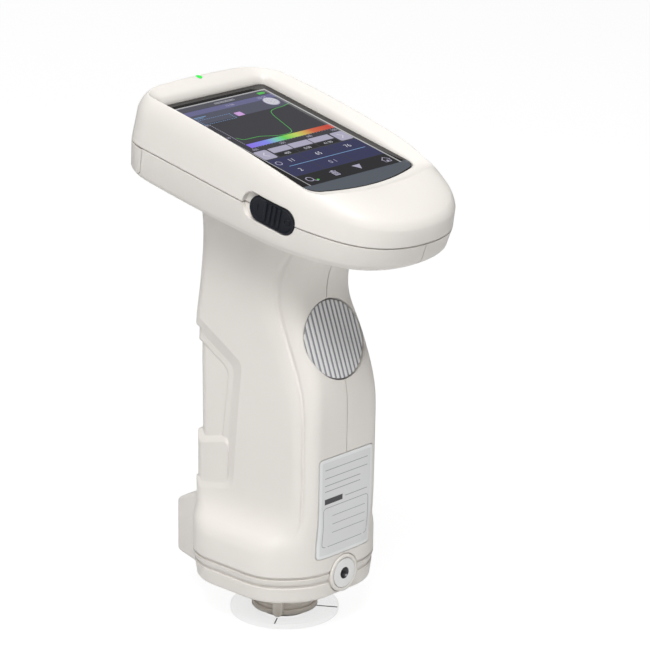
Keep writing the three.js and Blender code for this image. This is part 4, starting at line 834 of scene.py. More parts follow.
def cap_region(shift):
    start, low = CAP_START + shift, CAP_CORNER_LEVEL - CAP_SLOPE_DROP
    outline = [(start, FAR), (start, CAP_CORNER_LEVEL), (start + CAP_SLOPE_RUN, low), (start + FAR, low),
               (start + FAR, FAR)]
    return slab_across(outline, place=in_head)


def front_surface(x, z, inset):
    """How far towards the user the skin of the grip lies at given places."""
    outs = []
    for across, up in zip(x, z):
        share = max((up - BASE_TOP) / (GRIP_TOP - BASE_TOP), 0)
        ring = section_ring(up, share, inset)
        front = ring[ring[:, 1] < 0]
        front = front[np.argsort(front[:, 0])]
        outs.append(-np.interp(across, front[:, 0], front[:, 1]))
    return np.array(outs)


def label_body(grow, proud, depth):
    """The label's plate, grown, from a depth under the grip's skin to a height over it, or without end."""
    outline = rounded_box(-LABEL_HALF_WIDTH - grow, LABEL_HALF_WIDTH + grow, LABEL_BOTTOM - grow,
                          LABEL_TOP + grow, LABEL_CORNER + grow, straights=12)
    plate = slab(outline, 0, FAR, in_front)
    if proud is not None:
        plate = common(plate, grip_loft(-proud, [section_ring(UPPER_GROOVE[1], 0, -proud)]))
    return cut(plate, grip_loft(depth, [section_ring(UPPER_GROOVE[1], 0, depth)]))


def shell_cuts():
    """Everything that is cut into the housing below its parting line."""
    head = circle(SCREW_HEAD_RADIUS + GAP, 32)
    screws = [slab_across(head + place, SHELL_SCREW_SEAT) for place in SHELL_SCREW_PLACES]
    floor = LOWER_BAND_LEVEL[1] - LOWER_BEVEL_DROP
    screws += [slab(head + place, floor - OVERRUN, HEAD_SCREW_SEAT, in_head) for place in HEAD_SCREW_PLACES]
    port = rounded_box(-PORT_HALF_WIDTH, PORT_HALF_WIDTH, PORT_LEVEL - PORT_HALF_HEIGHT,
                       PORT_LEVEL + PORT_HALF_HEIGHT, PORT_CORNER)
    insert_rear = BASE_FRONT + COLLAR_PROUD - INSERT_LENGTH
    return [
        *screws, slab(port, CAP_START, FAR, edgewise(in_head)), *switch_cuts(),
        slab(circle(BUTTON_BORE), -BUTTON_CAP_DEPTH - OVERRUN, WALL + OVERRUN, in_button),
        slab(circle(SNOUT_RADIUS + GAP), -OVERRUN, BASE_FLOOR + OVERRUN),
        slab(circle(COLLAR_RADIUS + GAP) + (0, INSERT_HEIGHT), insert_rear - GAP, BASE_FRONT + FAR,
             in_front),
        label_body(GAP, None, LABEL_THICKNESS - LABEL_PROUD + GAP),
    ]


def cad_copy(node):
    """A solid with the CAD node's own shape."""
    piece = copied(frame["nodes"][node])
    piece.data.materials.clear()
    shape = bmesh.new()
    shape.from_mesh(piece.data)
    bmesh.ops.remove_doubles(shape, verts=shape.verts, dist=1e-4 * MM)
    shape.to_mesh(piece.data)
    shape.free()
    return piece


# Materials
def fill(node, *values, **named):
    """Fills a node's inputs, by place or name, with values or links; names in small letters are settings."""
    for key, value in [*enumerate(values), *named.items()]:
        if isinstance(key, str) and key[0].islower():
            setattr(node, key, value)
            continue
        socket = node.inputs[key if isinstance(key, int) else key.replace("_", " ")]
        if isinstance(value, bpy.types.NodeSocket):
            node.id_data.links.new(value, socket)
        else:
            socket.default_value = value
    return node


def add_node(tree, kind, *values, **named):
    return fill(tree.nodes.new("ShaderNode" + kind), *values, **named)


def ramp(tree, value, stops):
    """The colour that stops of a place and a colour give to a value."""
    node = add_node(tree, "ValToRGB", value)
    elements = node.color_ramp.elements
    while len(elements) < len(stops):
        elements.new(0.5)
    for element, (position, color) in zip(elements, stops):
        element.position = position
        element.color = (*color, 1)
    return node.outputs["Color"]


def shaded(name, **inputs):
    """A material with these inputs, its tree, its shader and the places on its object."""
    material = bpy.data.materials.new(name)
    material.use_nodes = True
    tree = material.node_tree
    shader = fill(tree.nodes["Principled BSDF"], **inputs)
    return material, tree, shader, add_node(tree, "TexCoord").outputs["Object"]


def node_material(name, color, roughness, metallic=0.0, mottle=0.04, grain=0.0, grain_size=0.4,
                  soften=0.0, glow=0.0, specular=0.5):
    """A procedural finish: a slightly uneven colour, with a fine grain and softened edges in the light."""
    material, tree, shader, place = shaded(name, Roughness=roughness, Metallic=metallic,
                                           Specular_IOR_Level=specular)
    cloud = add_node(tree, "TexNoise", Vector=place, Scale=CLOUD_SCALE, Detail=CLOUD_DETAIL)
    tones = [[min(c * (1 + change), 1) for c in color] for change in (-mottle, mottle)]
    shade = ramp(tree, cloud.outputs["Fac"], list(enumerate(tones)))
    fill(shader, Base_Color=shade)
    if glow:
        fill(shader, Emission_Color=shade, Emission_Strength=glow)
    normal = None
    if soften:
        normal = add_node(tree, "Bevel", samples=BEVEL_SAMPLES, Radius=soften * MM).outputs["Normal"]
    if grain:
        fine = add_node(tree, "TexNoise", Vector=place, Scale=1 / (grain_size * MM), Detail=GRAIN_DETAIL)
        bump = add_node(tree, "Bump", Height=fine.outputs["Fac"], Strength=grain, Distance=GRAIN_HEIGHT * MM)
        if normal:
            fill(bump, Normal=normal)
        normal = bump.outputs["Normal"]
    if normal:
        fill(shader, Normal=normal)
    return material


def clear_material():
    material = node_material("clear_acrylic", (0.93, 0.95, 0.97), 0.04, mottle=0.01)
    tree = material.node_tree
    facing = add_node(tree, "LayerWeight", Blend=0.35).outputs["Facing"]
    span = add_node(tree, "MapRange", Value=facing, To_Min=0.03, To_Max=0.2)
    fill(tree.nodes["Principled BSDF"], Alpha=span.outputs["Result"])
    return material


IVORY = node_material("ivory_abs", (0.82, 0.785, 0.74), 0.42, mottle=0.012, grain=0.12, grain_size=0.35,
                      soften=0.7)
BLACK = node_material("black_plastic", (0.004, 0.006, 0.012), 0.45, mottle=0.2, grain=0.3, specular=0.35,
                      soften=0.25)
GREY = node_material("grey_rubber", (0.34, 0.335, 0.37), 0.5, grain=0.2, soften=0.2)
# Painted shade: the same grey rubber, darker, for the grooves between the button's ribs
PAINTED_GROOVE_SHADE = node_material("grey_rubber_painted_groove_shade", (0.11, 0.11, 0.125), 0.6, mottle=0.06, grain=0.2)
TAUPE = node_material("port_taupe", (0.78, 0.73, 0.665), 0.45, mottle=0.05, grain=0.2, soften=0.3)
METAL = node_material("turned_steel", (0.86, 0.86, 0.85), 0.38, metallic=0.55, mottle=0.06, grain=0.15,
                      soften=0.15)
# Painted shade: a near-black steel for the inside of the insert's threaded bore
BORE_SHADE = node_material("bore_shadow_steel", (0.09, 0.09, 0.09), 0.35, metallic=0.8, mottle=0.2)
PLATED = node_material("plated_steel", (0.62, 0.62, 0.6), 0.3, metallic=1, mottle=0.06, grain=0.1)
BOARD = node_material("circuit_board", (0.02, 0.12, 0.06), 0.4, mottle=0.3, grain=0.2)
PAPER = node_material("label_film", (0.86, 0.87, 0.87), 0.4, mottle=0.01, grain=0.05)
FIELD = node_material("label_field", (0.77, 0.775, 0.775), 0.4, mottle=0.02)
INK = node_material("label_ink", (0.06, 0.06, 0.065), 0.45, mottle=0.2)
FRAME_INK = node_material("label_frame_ink", (0.28, 0.3, 0.31), 0.45, mottle=0.1)
COATING = node_material("sphere_coating", (0.9, 0.9, 0.88), 0.9, mottle=0.02, grain=0.4)
ANODISED = node_material("black_aluminium", (0.03, 0.03, 0.035), 0.35, metallic=0.8, mottle=0.1, grain=0.1)
GRATING = node_material("grating_glass", (0.7, 0.72, 0.75), 0.08, metallic=1, mottle=0.05)
WRAP = node_material("battery_wrap", (0.03, 0.1, 0.32), 0.3, mottle=0.08)
GLASS_INK = node_material("glass_black", (0.014, 0.013, 0.013), 0.06, mottle=0.05, specular=0.25)
CHIN_INK = node_material("glass_grey", (0.085, 0.097, 0.115), 0.07, specular=0.25)
LENS = node_material("status_lens", (0.012, 0.55, 0.045), 0.15, mottle=0.3, glow=0.75)
CLEAR = clear_material()


def crease(mesh):
    """Keeps the edges sharp past an angle, and where two surfaces meet, past a much smaller one."""
    shape = bmesh.new()
    shape.from_mesh(mesh)
    bmesh.ops.dissolve_degenerate(shape, edges=shape.edges, dist=1e-3 * MM)
    surface = shape.faces.layers.int.get("surface")
    for face in shape.faces:
        face.smooth = True
    for edge in shape.edges:
        apart = surface and len({face[surface] for face in edge.link_faces}) > 1
        edge.smooth = edge.calc_face_angle(0) < (CREASE_ANGLE if apart else SMOOTH_ANGLE)
    if surface:
        shape.faces.layers.int.remove(surface)
    shape.to_mesh(mesh)
    shape.free()


def finish(name, piece, materials, body="housing", replaces=()):
    """Names a piece, gives it its finish and smooth shading, and lets it ride on its body."""
    piece.name = name
    piece.data.name = name
    if not isinstance(materials, (list, tuple)):
        materials = [materials]
        piece.data.materials.clear()
    for material in materials:
        piece.data.materials.append(material)
    crease(piece.data)
    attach(piece, body)
    if replaces:
        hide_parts(*replaces)


# Housing
def make_top_cover():
    shoulder = dish_ring(DISH_SHOULDER_GROW, DISH_REAR_GROW, 0)
    flare = []
    for share, rise in DISH_FLARE:
        grown = [GAP + (grow - GAP) * share for grow in (DISH_SHOULDER_GROW, DISH_REAR_GROW)]
        outline = glass_outline(*grown)
        flare.append(np.column_stack([outline, GLASS_TOP + (shoulder[:, 2] - GLASS_TOP) * rise]))
    dish = loft([
        *(flat_ring(glass_outline(GAP), level) for level in (SEAT_LEVEL, GLASS_TOP)), *flare, shoulder,
        dish_ring((DISH_SHOULDER_GROW + DISH_RUN_OUT) / 2, DISH_REAR_GROW + DISH_RUN_OUT / 2,
                  DISH_RISE * DISH_MIDDLE_RISE_SHARE),
        *(dish_ring(DISH_RUN_OUT, DISH_RUN_OUT + DISH_REAR_GROW, lift)
          for lift in (DISH_RISE, DISH_RISE + OVERRUN)),
    ], in_head)
    width, length = ACTIVE_HALF_WIDTH + ACTIVE_BORDER, ACTIVE_HALF_LENGTH + ACTIVE_BORDER
    window = block(-width, width, -length, length, ROOF_LEVEL - OVERRUN, GLASS_TOP, in_head)
    light_rim = circle(LIGHT_RADIUS + GAP / 2, SMALL_ROUND_STEPS) + (0, LIGHT_PLACE)
    light_bore = slab(light_rim, -FAR, FAR, in_head)
    skin = cut(top_outer(), top_inner(WALL))
    pad = common(switch_pad(), parting_space(PARTING_GAP / 2, FAR))
    skin = cut(union(skin, pad), dish, window, light_bore, *switch_cuts())
    kept = common(cad_copy("top_shell"), top_inner(KEPT_DEPTH))
    finish("head_cover", union(skin, kept), IVORY, replaces=["top_shell"])


def make_body():
    skin = cut(outer_body(), inner_body(WALL))
    pad = common(switch_pad(), parting_space(-FAR, -PARTING_GAP / 2))
    skin = cut(union(skin, pad), *shell_cuts())
    core = inner_body(KEPT_DEPTH)
    cap = common(copied(skin), cap_region(GAP), parting_space(-FAR, -PARTING_GAP / 2 - CAP_DROP))
    cap = union(cap, common(cad_copy("rear_cap"), copied(core)))
    finish("head_rear_cap", cap, IVORY, replaces=["rear_cap"])
    halves = cut(skin, cap_region(0))
    for side, low, high in (("left", -FAR, -GAP / 2), ("right", GAP / 2, FAR)):
        node = f"{side}_shell"
        half = common(copied(halves), block(low, high, -FAR, FAR, -FAR, FAR))
        half = union(half, common(cad_copy(node), copied(core)))
        finish(f"grip_half_{side}", half, IVORY, replaces=[node])
    for spare in (halves, core):
        bpy.data.objects.remove(spare)


class Sheet:
    """Flat printed or lit shapes in one mesh, each on the height of its layer."""

    def __init__(self, place):
        self.place, self.points, self.faces, self.slots, self.materials = place, [], [], [], []

    def polygon(self, outline, material, layer):
        first = len(self.points)
        self.points += list(self.place(flat_ring(outline, layer * PRINT_LIFT)))
        self.faces.append(tuple(range(first, len(self.points))))
        if material not in self.materials:
            self.materials.append(material)
        self.slots.append(self.materials.index(material))

    def stroke(self, line, width, material, layer):
        line = np.asarray(line, float)
        along = np.gradient(line, axis=0)
        along /= np.linalg.norm(along, axis=1)[:, None]
        side = np.stack([-along[:, 1], along[:, 0]], -1) * width / 2
        low, high = line - side, line + side
        for i in range(len(line) - 1):
            self.polygon([low[i], low[i + 1], high[i + 1], high[i]], material, layer)

    def words(self, text, x, y, height, material, layer):
        curve = bpy.data.curves.new("figures", "FONT")
        curve.body, curve.size = text, height
        curve.align_x, curve.align_y = "CENTER", "CENTER"
        holder = linked(curve)
        graph = bpy.context.evaluated_depsgraph_get()
        mesh = bpy.data.meshes.new_from_object(holder.evaluated_get(graph))
        for face in mesh.polygons:
            corners = [mesh.vertices[k].co for k in face.vertices]
            self.polygon([(x + c.x, y + c.y) for c in corners], material, layer)
        bpy.data.objects.remove(holder)

    def piece(self):
        mesh = bpy.data.meshes.new("sheet")
        mesh.from_pydata(in_frame(np.array(self.points)).tolist(), [], self.faces)
        for face, slot in zip(mesh.polygons, self.slots):
            face.material_index = slot
        return linked(mesh)


# Display: a unit place across and down the lit area, and what is drawn there
def picture_x(u):
    return ACTIVE_HALF_WIDTH * (2 * u - 1)


def picture_v(t):
    return ACTIVE_HALF_LENGTH * (1 - 2 * t)


def picture_material(name, color):
    """A lit part of the display under glass: a colour with faint rows across it, or else the spectrum."""
    material, tree, shader, place = shaded(name, Base_Color=(0.004, 0.004, 0.005, 1), Roughness=0.06,
                                           Specular_IOR_Level=0.25, Emission_Strength=1)
    if color:
        rows = add_node(tree, "TexWave", bands_direction="Y", Vector=place,
                        Scale=1 / (PICTURE_ROW * MM) / 20)
        stops = ((0, [c * PICTURE_ROW_SHADE for c in color]), (1, color))
        shade = ramp(tree, rows.outputs["Fac"], stops)
    else:
        across = add_node(tree, "SeparateXYZ", place).outputs["X"]
        span = add_node(tree, "MapRange", Value=across, From_Min=picture_x(AXIS_SHARE) * MM,
                        From_Max=ACTIVE_HALF_WIDTH * MM)
        shade = ramp(tree, span.outputs["Result"], SPECTRUM)
    fill(shader, Emission_Color=shade)
    return material


def smooth_line(points, steps):
    """A smooth line through points, by cardinal splines."""
    points = np.array([points[0], *points, points[-1]], float)
    out = []
    for k in range(1, len(points) - 2):
        p0, p1, p2, p3 = points[k - 1:k + 3]
        for step in range(steps):
            t = step / steps
            out.append(0.5 * (2 * p1 + (p2 - p0) * t + (2 * p0 - 5 * p1 + 4 * p2 - p3) * t * t
                              + (3 * p1 - p0 - 3 * p2 + p3) * t**3))
    return [*out, points[-2]]


def make_display():
    top, bottom = GLASS_TOP, GLASS_TOP - GLASS_THICKNESS
    rims = ((-GLASS_EDGE, bottom), (0, bottom + GLASS_EDGE), (0, top - GLASS_EDGE), (-GLASS_EDGE, top))
    glass = loft([flat_ring(glass_outline(grow), level) for grow, level in rims], in_head)
    finish("cover_glass", glass, GLASS_INK, replaces=["screen_glass"])

    shades = {name: picture_material("picture_" + name, color) for name, color in PICTURE_SHADES.items()}
    sheet = Sheet(moved(in_head, 0, 0, GLASS_TOP))

    def patch(u0, u1, t0, t1, shade, layer, corner=0):
        x0, x1, v0, v1 = picture_x(u0), picture_x(u1), picture_v(t1), picture_v(t0)
        square = [(x0, v0), (x1, v0), (x1, v1), (x0, v1)]
        sheet.polygon(rounded_box(x0, x1, v0, v1, corner, 5) if corner else square, shades[shade], layer)

    def line(places, width, shade, layer):
        sheet.stroke([(picture_x(u), picture_v(t)) for u, t in places], width, shades[shade], layer)

    def figures(text, u, t, height, shade, layer):
        sheet.words(text, picture_x(u), picture_v(t), height, shades[shade], layer)

    def disc(u, t, radius, shade, layer):
        sheet.polygon(circle(radius, 40) + (picture_x(u), picture_v(t)), shades[shade], layer)

    # The printed chin of the glass, and the panel's edges as glowing silver strips, wider on the right and
    # at the rear: a painted highlight
    chin = glass_outline(-2 * GLASS_EDGE)
    lower = chin[chin[:, 1] < -ACTIVE_HALF_LENGTH + ACTIVE_BORDER]
    order = np.argsort(np.arctan2(lower[:, 1] + ACTIVE_HALF_LENGTH, lower[:, 0]))
    sheet.polygon(lower[order], CHIN_INK, 1)
    x, v, edge = ACTIVE_HALF_WIDTH, ACTIVE_HALF_LENGTH, ACTIVE_BORDER
    for outline in (
        [(x, -v), (x + edge, -v), (x + edge, v + edge), (x, v)],
        [(-x - edge, v), (x, v), (x + edge, v + edge), (-x - edge, v + edge)],
        [(-x - edge / 2, -v), (-x, -v), (-x, v), (-x - edge / 2, v)],
    ):
        sheet.polygon(outline, shades["painted_edge_highlight"], 2)

    # The bars at the top, with the battery, the numbers, a dotted frame and a round swatch
    patch(0, 1, 0, 1, "night", 3)
    patch(0, 1, 0, 0.047, "status", 4)
    patch(0, 1, 0.05, 0.097, "bar", 4)
    patch(0, 1, 0.097, 0.2, "dusk", 4)
    patch(0.885, 0.955, 0.014, 0.038, "green", 5, 0.4)
    patch(0.955, 0.963, 0.02, 0.032, "green", 5)
    figures("10:24", 0.86, 0.073, 2.2, "lavender", 5)
    figures("12 06", 0.5, 0.073, 2, "lavender", 5)
    for t in (0.018, 0.028):
        patch(0.4, 0.62, t, t + 0.003, "pale", 5)
    for t in (0.152, 0.208):
        for u in np.arange(0.03, 0.37, 0.024):
            patch(u, u + 0.013, t, t + 0.004, "blue", 5)
    for u in (0.03, 0.37):
        for t in np.arange(0.152, 0.208, 0.012):
            patch(u, u + 0.006, t, t + 0.007, "blue", 5)
    patch(0.03, 0.16, 0.122, 0.128, "blue", 5)
    patch(0.03, 0.12, 0.135, 0.139, "blue", 5)
    patch(0.415, 0.487, 0.158, 0.2, "pink", 5, 0.3)
    disc(0.885, 0.13, 3.5, "lavender", 5)
    disc(0.885, 0.128, 3.1, "pale", 6)
    for dot in range(9):
        angle, reach = dot * 2.4, 0.8 * math.sqrt(dot)
        disc(0.885 + reach * math.cos(angle) / (2 * x), 0.128 + reach * math.sin(angle) / (2 * v), 0.28,
             "lavender", 7)

    # The chart with its axis, curve, spectrum and scale
    for t in np.arange(0.222, 0.478, 0.0125):
        patch(AXIS_SHARE - 0.004, AXIS_SHARE + 0.004, t, t + 0.006, "lavender", 5)
    figures("100", 0.03, 0.222, 1.7, "lavender", 5)
    figures("50", 0.03, 0.385, 1.7, "lavender", 5)
    line(smooth_line(PICTURE_CURVE, 5), 0.28, "green", 5)
    patch(AXIS_SHARE, 1, 0.485, 0.53, "spectrum", 5)
    for k in range(31):
        u = AXIS_SHARE + (1 - AXIS_SHARE) * k / 30
        patch(u - 0.002, u + 0.002, 0.532, 0.537 if k % 10 else 0.543, "lavender", 5)
    for text, u in (("400", 0.07), ("500", 0.37), ("600", 0.67), ("700", 0.95)):
        figures(text, u, 0.553, 1.9, "lavender", 5)

    # The arrows with the fields between them, and the cells below
    for u0, u1, aim in ((0.005, 0.145, -1), (0.855, 0.995, 1)):
        patch(u0, u1, 0.575, 0.672, "lavender", 5, 1.1)
        middle, reach = (u0 + u1) / 2, 0.018 * aim
        line([(middle - reach, 0.6), (middle + reach, 0.623), (middle - reach, 0.646)], 0.55, "pale", 6)
    for u0, u1 in ((0.165, 0.375), (0.385, 0.602), (0.612, 0.835)):
        patch(u0, u1, 0.575, 0.627, "lavender", 5, 0.4)
        patch(u0, u1, 0.637, 0.673, "tools", 5)
    for text, u in (("400", 0.27), ("0.00", 0.495), ("41.90", 0.725)):
        figures(text, u, 0.655, 2.1, "pale", 6)
    for u0, u1 in ((0, 0.325), (0.333, 0.66), (0.668, 1)):
        patch(u0, u1, 0.682, 0.778, "cell", 5)
        patch(u0, u1, 0.782, 0.885, "cell", 5)
    for text, u, t in (("11", 0.2, 0.73), ("65", 0.5, 0.73), ("76", 0.83, 0.73), ("2", 0.14, 0.835)):
        figures(text, u, t, 3.2, "pale", 6)
    figures("0 1", 0.5, 0.835, 3.2, "lavender", 6)
    disc(0.06, 0.73, 1.5, "lavender", 6)
    disc(0.06, 0.73, 1.15, "cell", 7)
    line([(0.1, 0.78), (0.95, 0.78)], 0.35, "blue", 6)

    # The row of tools: a magnifier, a bin, an arrow and a house
    patch(0, 1, 0.887, 1, "tools", 5)
    disc(0.075, 0.94, 1.7, "lavender", 6)
    disc(0.075, 0.94, 1.3, "tools", 7)
    line([(0.1, 0.957), (0.125, 0.972)], 0.45, "lavender", 6)
    disc(0.135, 0.962, 0.55, "green", 8)
    patch(0.315, 0.385, 0.922, 0.927, "lavender", 6)
    patch(0.338, 0.362, 0.914, 0.922, "lavender", 6)
    patch(0.322, 0.378, 0.932, 0.97, "lavender", 6, 0.3)
    for u in (0.335, 0.35, 0.365):
        patch(u - 0.003, u + 0.003, 0.938, 0.965, "tools", 7)
    arrow = [(picture_x(u), picture_v(t)) for u, t in ((0.57, 0.92), (0.615, 0.968), (0.66, 0.92))]
    sheet.polygon(arrow, shades["lavender"], 6)
    line([(0.88, 0.945), (0.925, 0.918), (0.97, 0.945)], 0.4, "lavender", 6)
    line([(0.893, 0.944), (0.893, 0.968), (0.957, 0.968), (0.957, 0.944)], 0.4, "lavender", 6)
    patch(0.915, 0.935, 0.95, 0.968, "lavender", 6)
    finish("display_picture", sheet.piece(), sheet.materials)


def make_status_light():
    top = level_at(CREST_LEVEL, LIGHT_PLACE) - LIGHT_DOME
    width = LIGHT_RADIUS - GAP / 2
    profile = [(0, LIGHT_FOOT), (width, LIGHT_FOOT), (width, top)]
    profile += [(width * math.cos(angle), top + LIGHT_DOME * math.sin(angle))
                for angle in np.linspace(0.1, math.pi / 2, 8)]
    lens = turned(profile, moved(in_head, 0, LIGHT_PLACE, 0), SMALL_ROUND_STEPS)
    finish("status_lens", lens, LENS, replaces=["status_light"])


# Power switch: a hollowed slider with ribs across its thumb rest and a mark at each end
def make_switch():
    plate = loft([
        flat_ring(stadium(SLIDER_HALF_LENGTH - inset, SLIDER_HALF_HEIGHT - inset, 36), level)
        for inset, level in ((0, -SLIDER_THICKNESS), *SLIDER_HOLLOW)
    ], in_slider)
    reach = SLIDER_HALF_HEIGHT * SLIDER_RIB_REACH_SHARE
    ribs = []
    for k in range(SLIDER_RIBS):
        x = (k - (SLIDER_RIBS - 1) / 2) * SLIDER_RIB_PITCH
        foot = rounded_box(x - SLIDER_RIB_HALF_WIDTH, x + SLIDER_RIB_HALF_WIDTH, -reach, reach, 0.45, 5)
        top = shifted((foot - (x, 0)) * SLIDER_RIB_TOP_SHARES, x)
        low, shoulder, high = SLIDER_RIB_LEVELS
        ribs.append(loft([flat_ring(foot, low), flat_ring(foot, shoulder), flat_ring(top, high)], in_slider))
    length, height, behind = NECK_HALF_LENGTH, NECK_HALF_HEIGHT, PAD_END - GAP
    neck = block(-length, length, -height, height, behind - CATCH_THICKNESS, SLIDER_CORE, in_slider)
    catch = block(-4, 4, -3.4, 3.4, behind - CATCH_THICKNESS, behind, in_slider)
    prongs = [block(*sorted((side * 1.3, side * 2.5)), -height, height, behind - 4.2, behind, in_slider)
              for side in (1, -1)]
    ring_mark = turned([(1.05, SLIDER_CORE), (1.45, SLIDER_CORE), (1.4, -0.18), (1.25, -0.12), (1.1, -0.18)],
                       moved(in_slider, MARK_PLACE, 0, 0), 40)
    bar_mark = loft([flat_ring(rounded_box(-7.55, -7.15, -1.4, 1.4, 0.2), SLIDER_CORE),
                     flat_ring(rounded_box(-7.5, -7.2, -1.35, 1.35, 0.15), -0.14)], in_slider)
    slider = union(plate, *ribs, neck, catch, *prongs, ring_mark, bar_mark)
    finish("switch_slider_cap", slider, BLACK, body="switch_slider", replaces=["power_slider"])


# Measuring button: a crowned disc with rounded ribs up its slope, and painted shade down in the grooves
# between them
def make_button():
    pitch = 2 * BUTTON_RADIUS / BUTTON_RIBS

    def crown(x):
        return -BUTTON_CROWN * (x / BUTTON_RADIUS) ** 2

    rib = [*BUTTON_RIB_SIDE, *((-offset, height) for offset, height in BUTTON_RIB_SIDE[::-1])]
    top = []
    for k in range(BUTTON_RIBS):
        middle = -BUTTON_RADIUS + pitch * (k + 1 / 2)
        for offset, height in rib:
            x = middle + pitch * offset
            top.append((x, crown(x) + height * BUTTON_RIB_HEIGHT))
    wide = BUTTON_RADIUS + OVERRUN
    low, back = crown(wide) - BUTTON_RIB_HEIGHT, -BUTTON_CAP_DEPTH
    section = np.array([(-wide, back), (-wide, low), *top, (wide, low), (wide, back)])[::-1]
    ribbed = slab(section, -wide, wide, edgewise(in_button))
    edge = BUTTON_RADIUS - BUTTON_EDGE
    rim = turned([(0, back), (BUTTON_RADIUS, back), (BUTTON_RADIUS, -BUTTON_CROWN - BUTTON_EDGE),
                  (edge, -BUTTON_CROWN), (edge, OVERRUN), (0, OVERRUN)], in_button, 128)
    tip = BUTTON_RADIUS + LUG_REACH
    lugs = [block(-4, 4, low_end, high_end, back, back + LUG_THICKNESS, in_button)
            for low_end, high_end in ((0, tip), (-tip, 0))]
    stem = slab(circle(STEM_RADIUS, SMALL_ROUND_STEPS), back - STEM_LENGTH, back / 2, in_button)
    button = union(common(ribbed, rim), *lugs, stem)
    # Faces low in the gaps between the ribs take the darker grey, a painted shade in the grooves
    cos, sin = math.cos(BUTTON_SLOPE), math.sin(BUTTON_SLOPE)
    for face in button.data.polygons:
        x, y, z = face.center / MM - Vector((0, AXIS_Y, 0))
        out = -(y + BUTTON_FACE) * cos + (z - BUTTON_HEIGHT) * sin
        if -2 * BUTTON_RIB_HEIGHT - BUTTON_CROWN < out < crown(x) - 0.5 * BUTTON_RIB_HEIGHT:
            face.material_index = 1
    finish("button_disc", button, (GREY, PAINTED_GROOVE_SHADE), body="button", replaces=["measure_button"])


def on_label(points):
    x, up, lift = points.T
    out = front_surface(x, up, -LABEL_PROUD) + LABEL_PRINT_LIFT + lift
    return np.stack([x, -out, up], -1)


# Label: a film with a pale field, plain rules and a frame, and no lettering
def make_label():
    plate = label_body(0, LABEL_PROUD, LABEL_THICKNESS - LABEL_PROUD)
    finish("label_film", plate, PAPER, replaces=["label_plate"])
    sheet = Sheet(on_label)

    def strip(x0, x1, z0, z1, material=FRAME_INK, layer=2):
        """A patch that follows the curve of the grip."""
        columns = np.linspace(x0, x1, max(int((x1 - x0) / 0.8), 1) + 1)
        rows = np.linspace(z0, z1, max(int((z1 - z0) / 2), 1) + 1)
        for a, b in zip(columns, columns[1:]):
            for low, high in zip(rows, rows[1:]):
                sheet.polygon([(a, low), (b, low), (b, high), (a, high)], material, layer)

    side = LABEL_HALF_WIDTH - LABEL_BORDER
    strip(-side, side, LABEL_BOTTOM + LABEL_BORDER, LABEL_TOP - LABEL_BORDER, FIELD, 1)
    left, right = -side + LABEL_MARGIN, side - LABEL_MARGIN
    for z in (66.6, 70):
        strip(left, right, z, z + LABEL_RULE)
    strip(left, left + 10, 56, 58.2, INK)
    for start, end, z in ((left + 11.5, right, 57), (left, right - 4, 63.6), (left, right - 4, 61.2)):
        strip(start, end, z, z + LABEL_RULE)
    frame_line = rounded_box(left - 0.6, right + 0.6, 38.2, 54.5, 1.6, 6, 14)
    sheet.stroke([*frame_line, frame_line[0]], 0.22, FRAME_INK, 2)
    for z in (50.5, 47, 43.5):
        strip(left + 4.5, right - 1, z, z + 0.2)
    finish("label_print", sheet.piece(), sheet.materials)


# Threaded insert in its collar
def make_insert():
    face = BASE_FRONT + COLLAR_PROUD
    rear, inner = face - INSERT_LENGTH, INSERT_RADIUS + GAP / 2
    place = moved(in_front, 0, INSERT_HEIGHT, 0)
    collar = turned([(inner, rear), (COLLAR_RADIUS, rear), (COLLAR_RADIUS, face - 0.45),
                     (COLLAR_RADIUS - 0.12, face - 0.15), (COLLAR_RADIUS - 0.4, face),
                     (inner + 0.25, face), (inner, face - 0.25)], place)
    finish("insert_bush", collar, IVORY, replaces=["insert_collar"])
    bore = [(INSERT_BORE_RADIUS + THREAD_START, face)]
    for k in range(int(INSERT_BORE_DEPTH / THREAD_PITCH) - 1):
        bore += [(INSERT_BORE_RADIUS - 0.12, face - THREAD_START - THREAD_PITCH * (k + 0.5)),
                 (INSERT_BORE_RADIUS + 0.22, face - THREAD_START - THREAD_PITCH * (k + 1))]
    depth = face - INSERT_BORE_DEPTH
    profile = [*bore[::-1], (INSERT_RADIUS - 0.3, face), (INSERT_RADIUS - 0.08, face - 0.08),
               (INSERT_RADIUS, face - 0.3), (INSERT_RADIUS, rear), (0, rear), (0, depth),
               (INSERT_BORE_RADIUS, depth)]
    bush = turned(profile, place)
    # Faces inside the bore take the near-black steel, a painted shade in the hole
    middle = Vector((0, AXIS_Y, INSERT_HEIGHT)) * MM
    for face in bush.data.polygons:
        off = face.center - middle
        if math.hypot(off.x, off.z) < (INSERT_BORE_RADIUS + GAP) * MM:
            face.material_index = 1
    finish("threaded_bush", bush, (METAL, BORE_SHADE), replaces=["threaded_insert"])


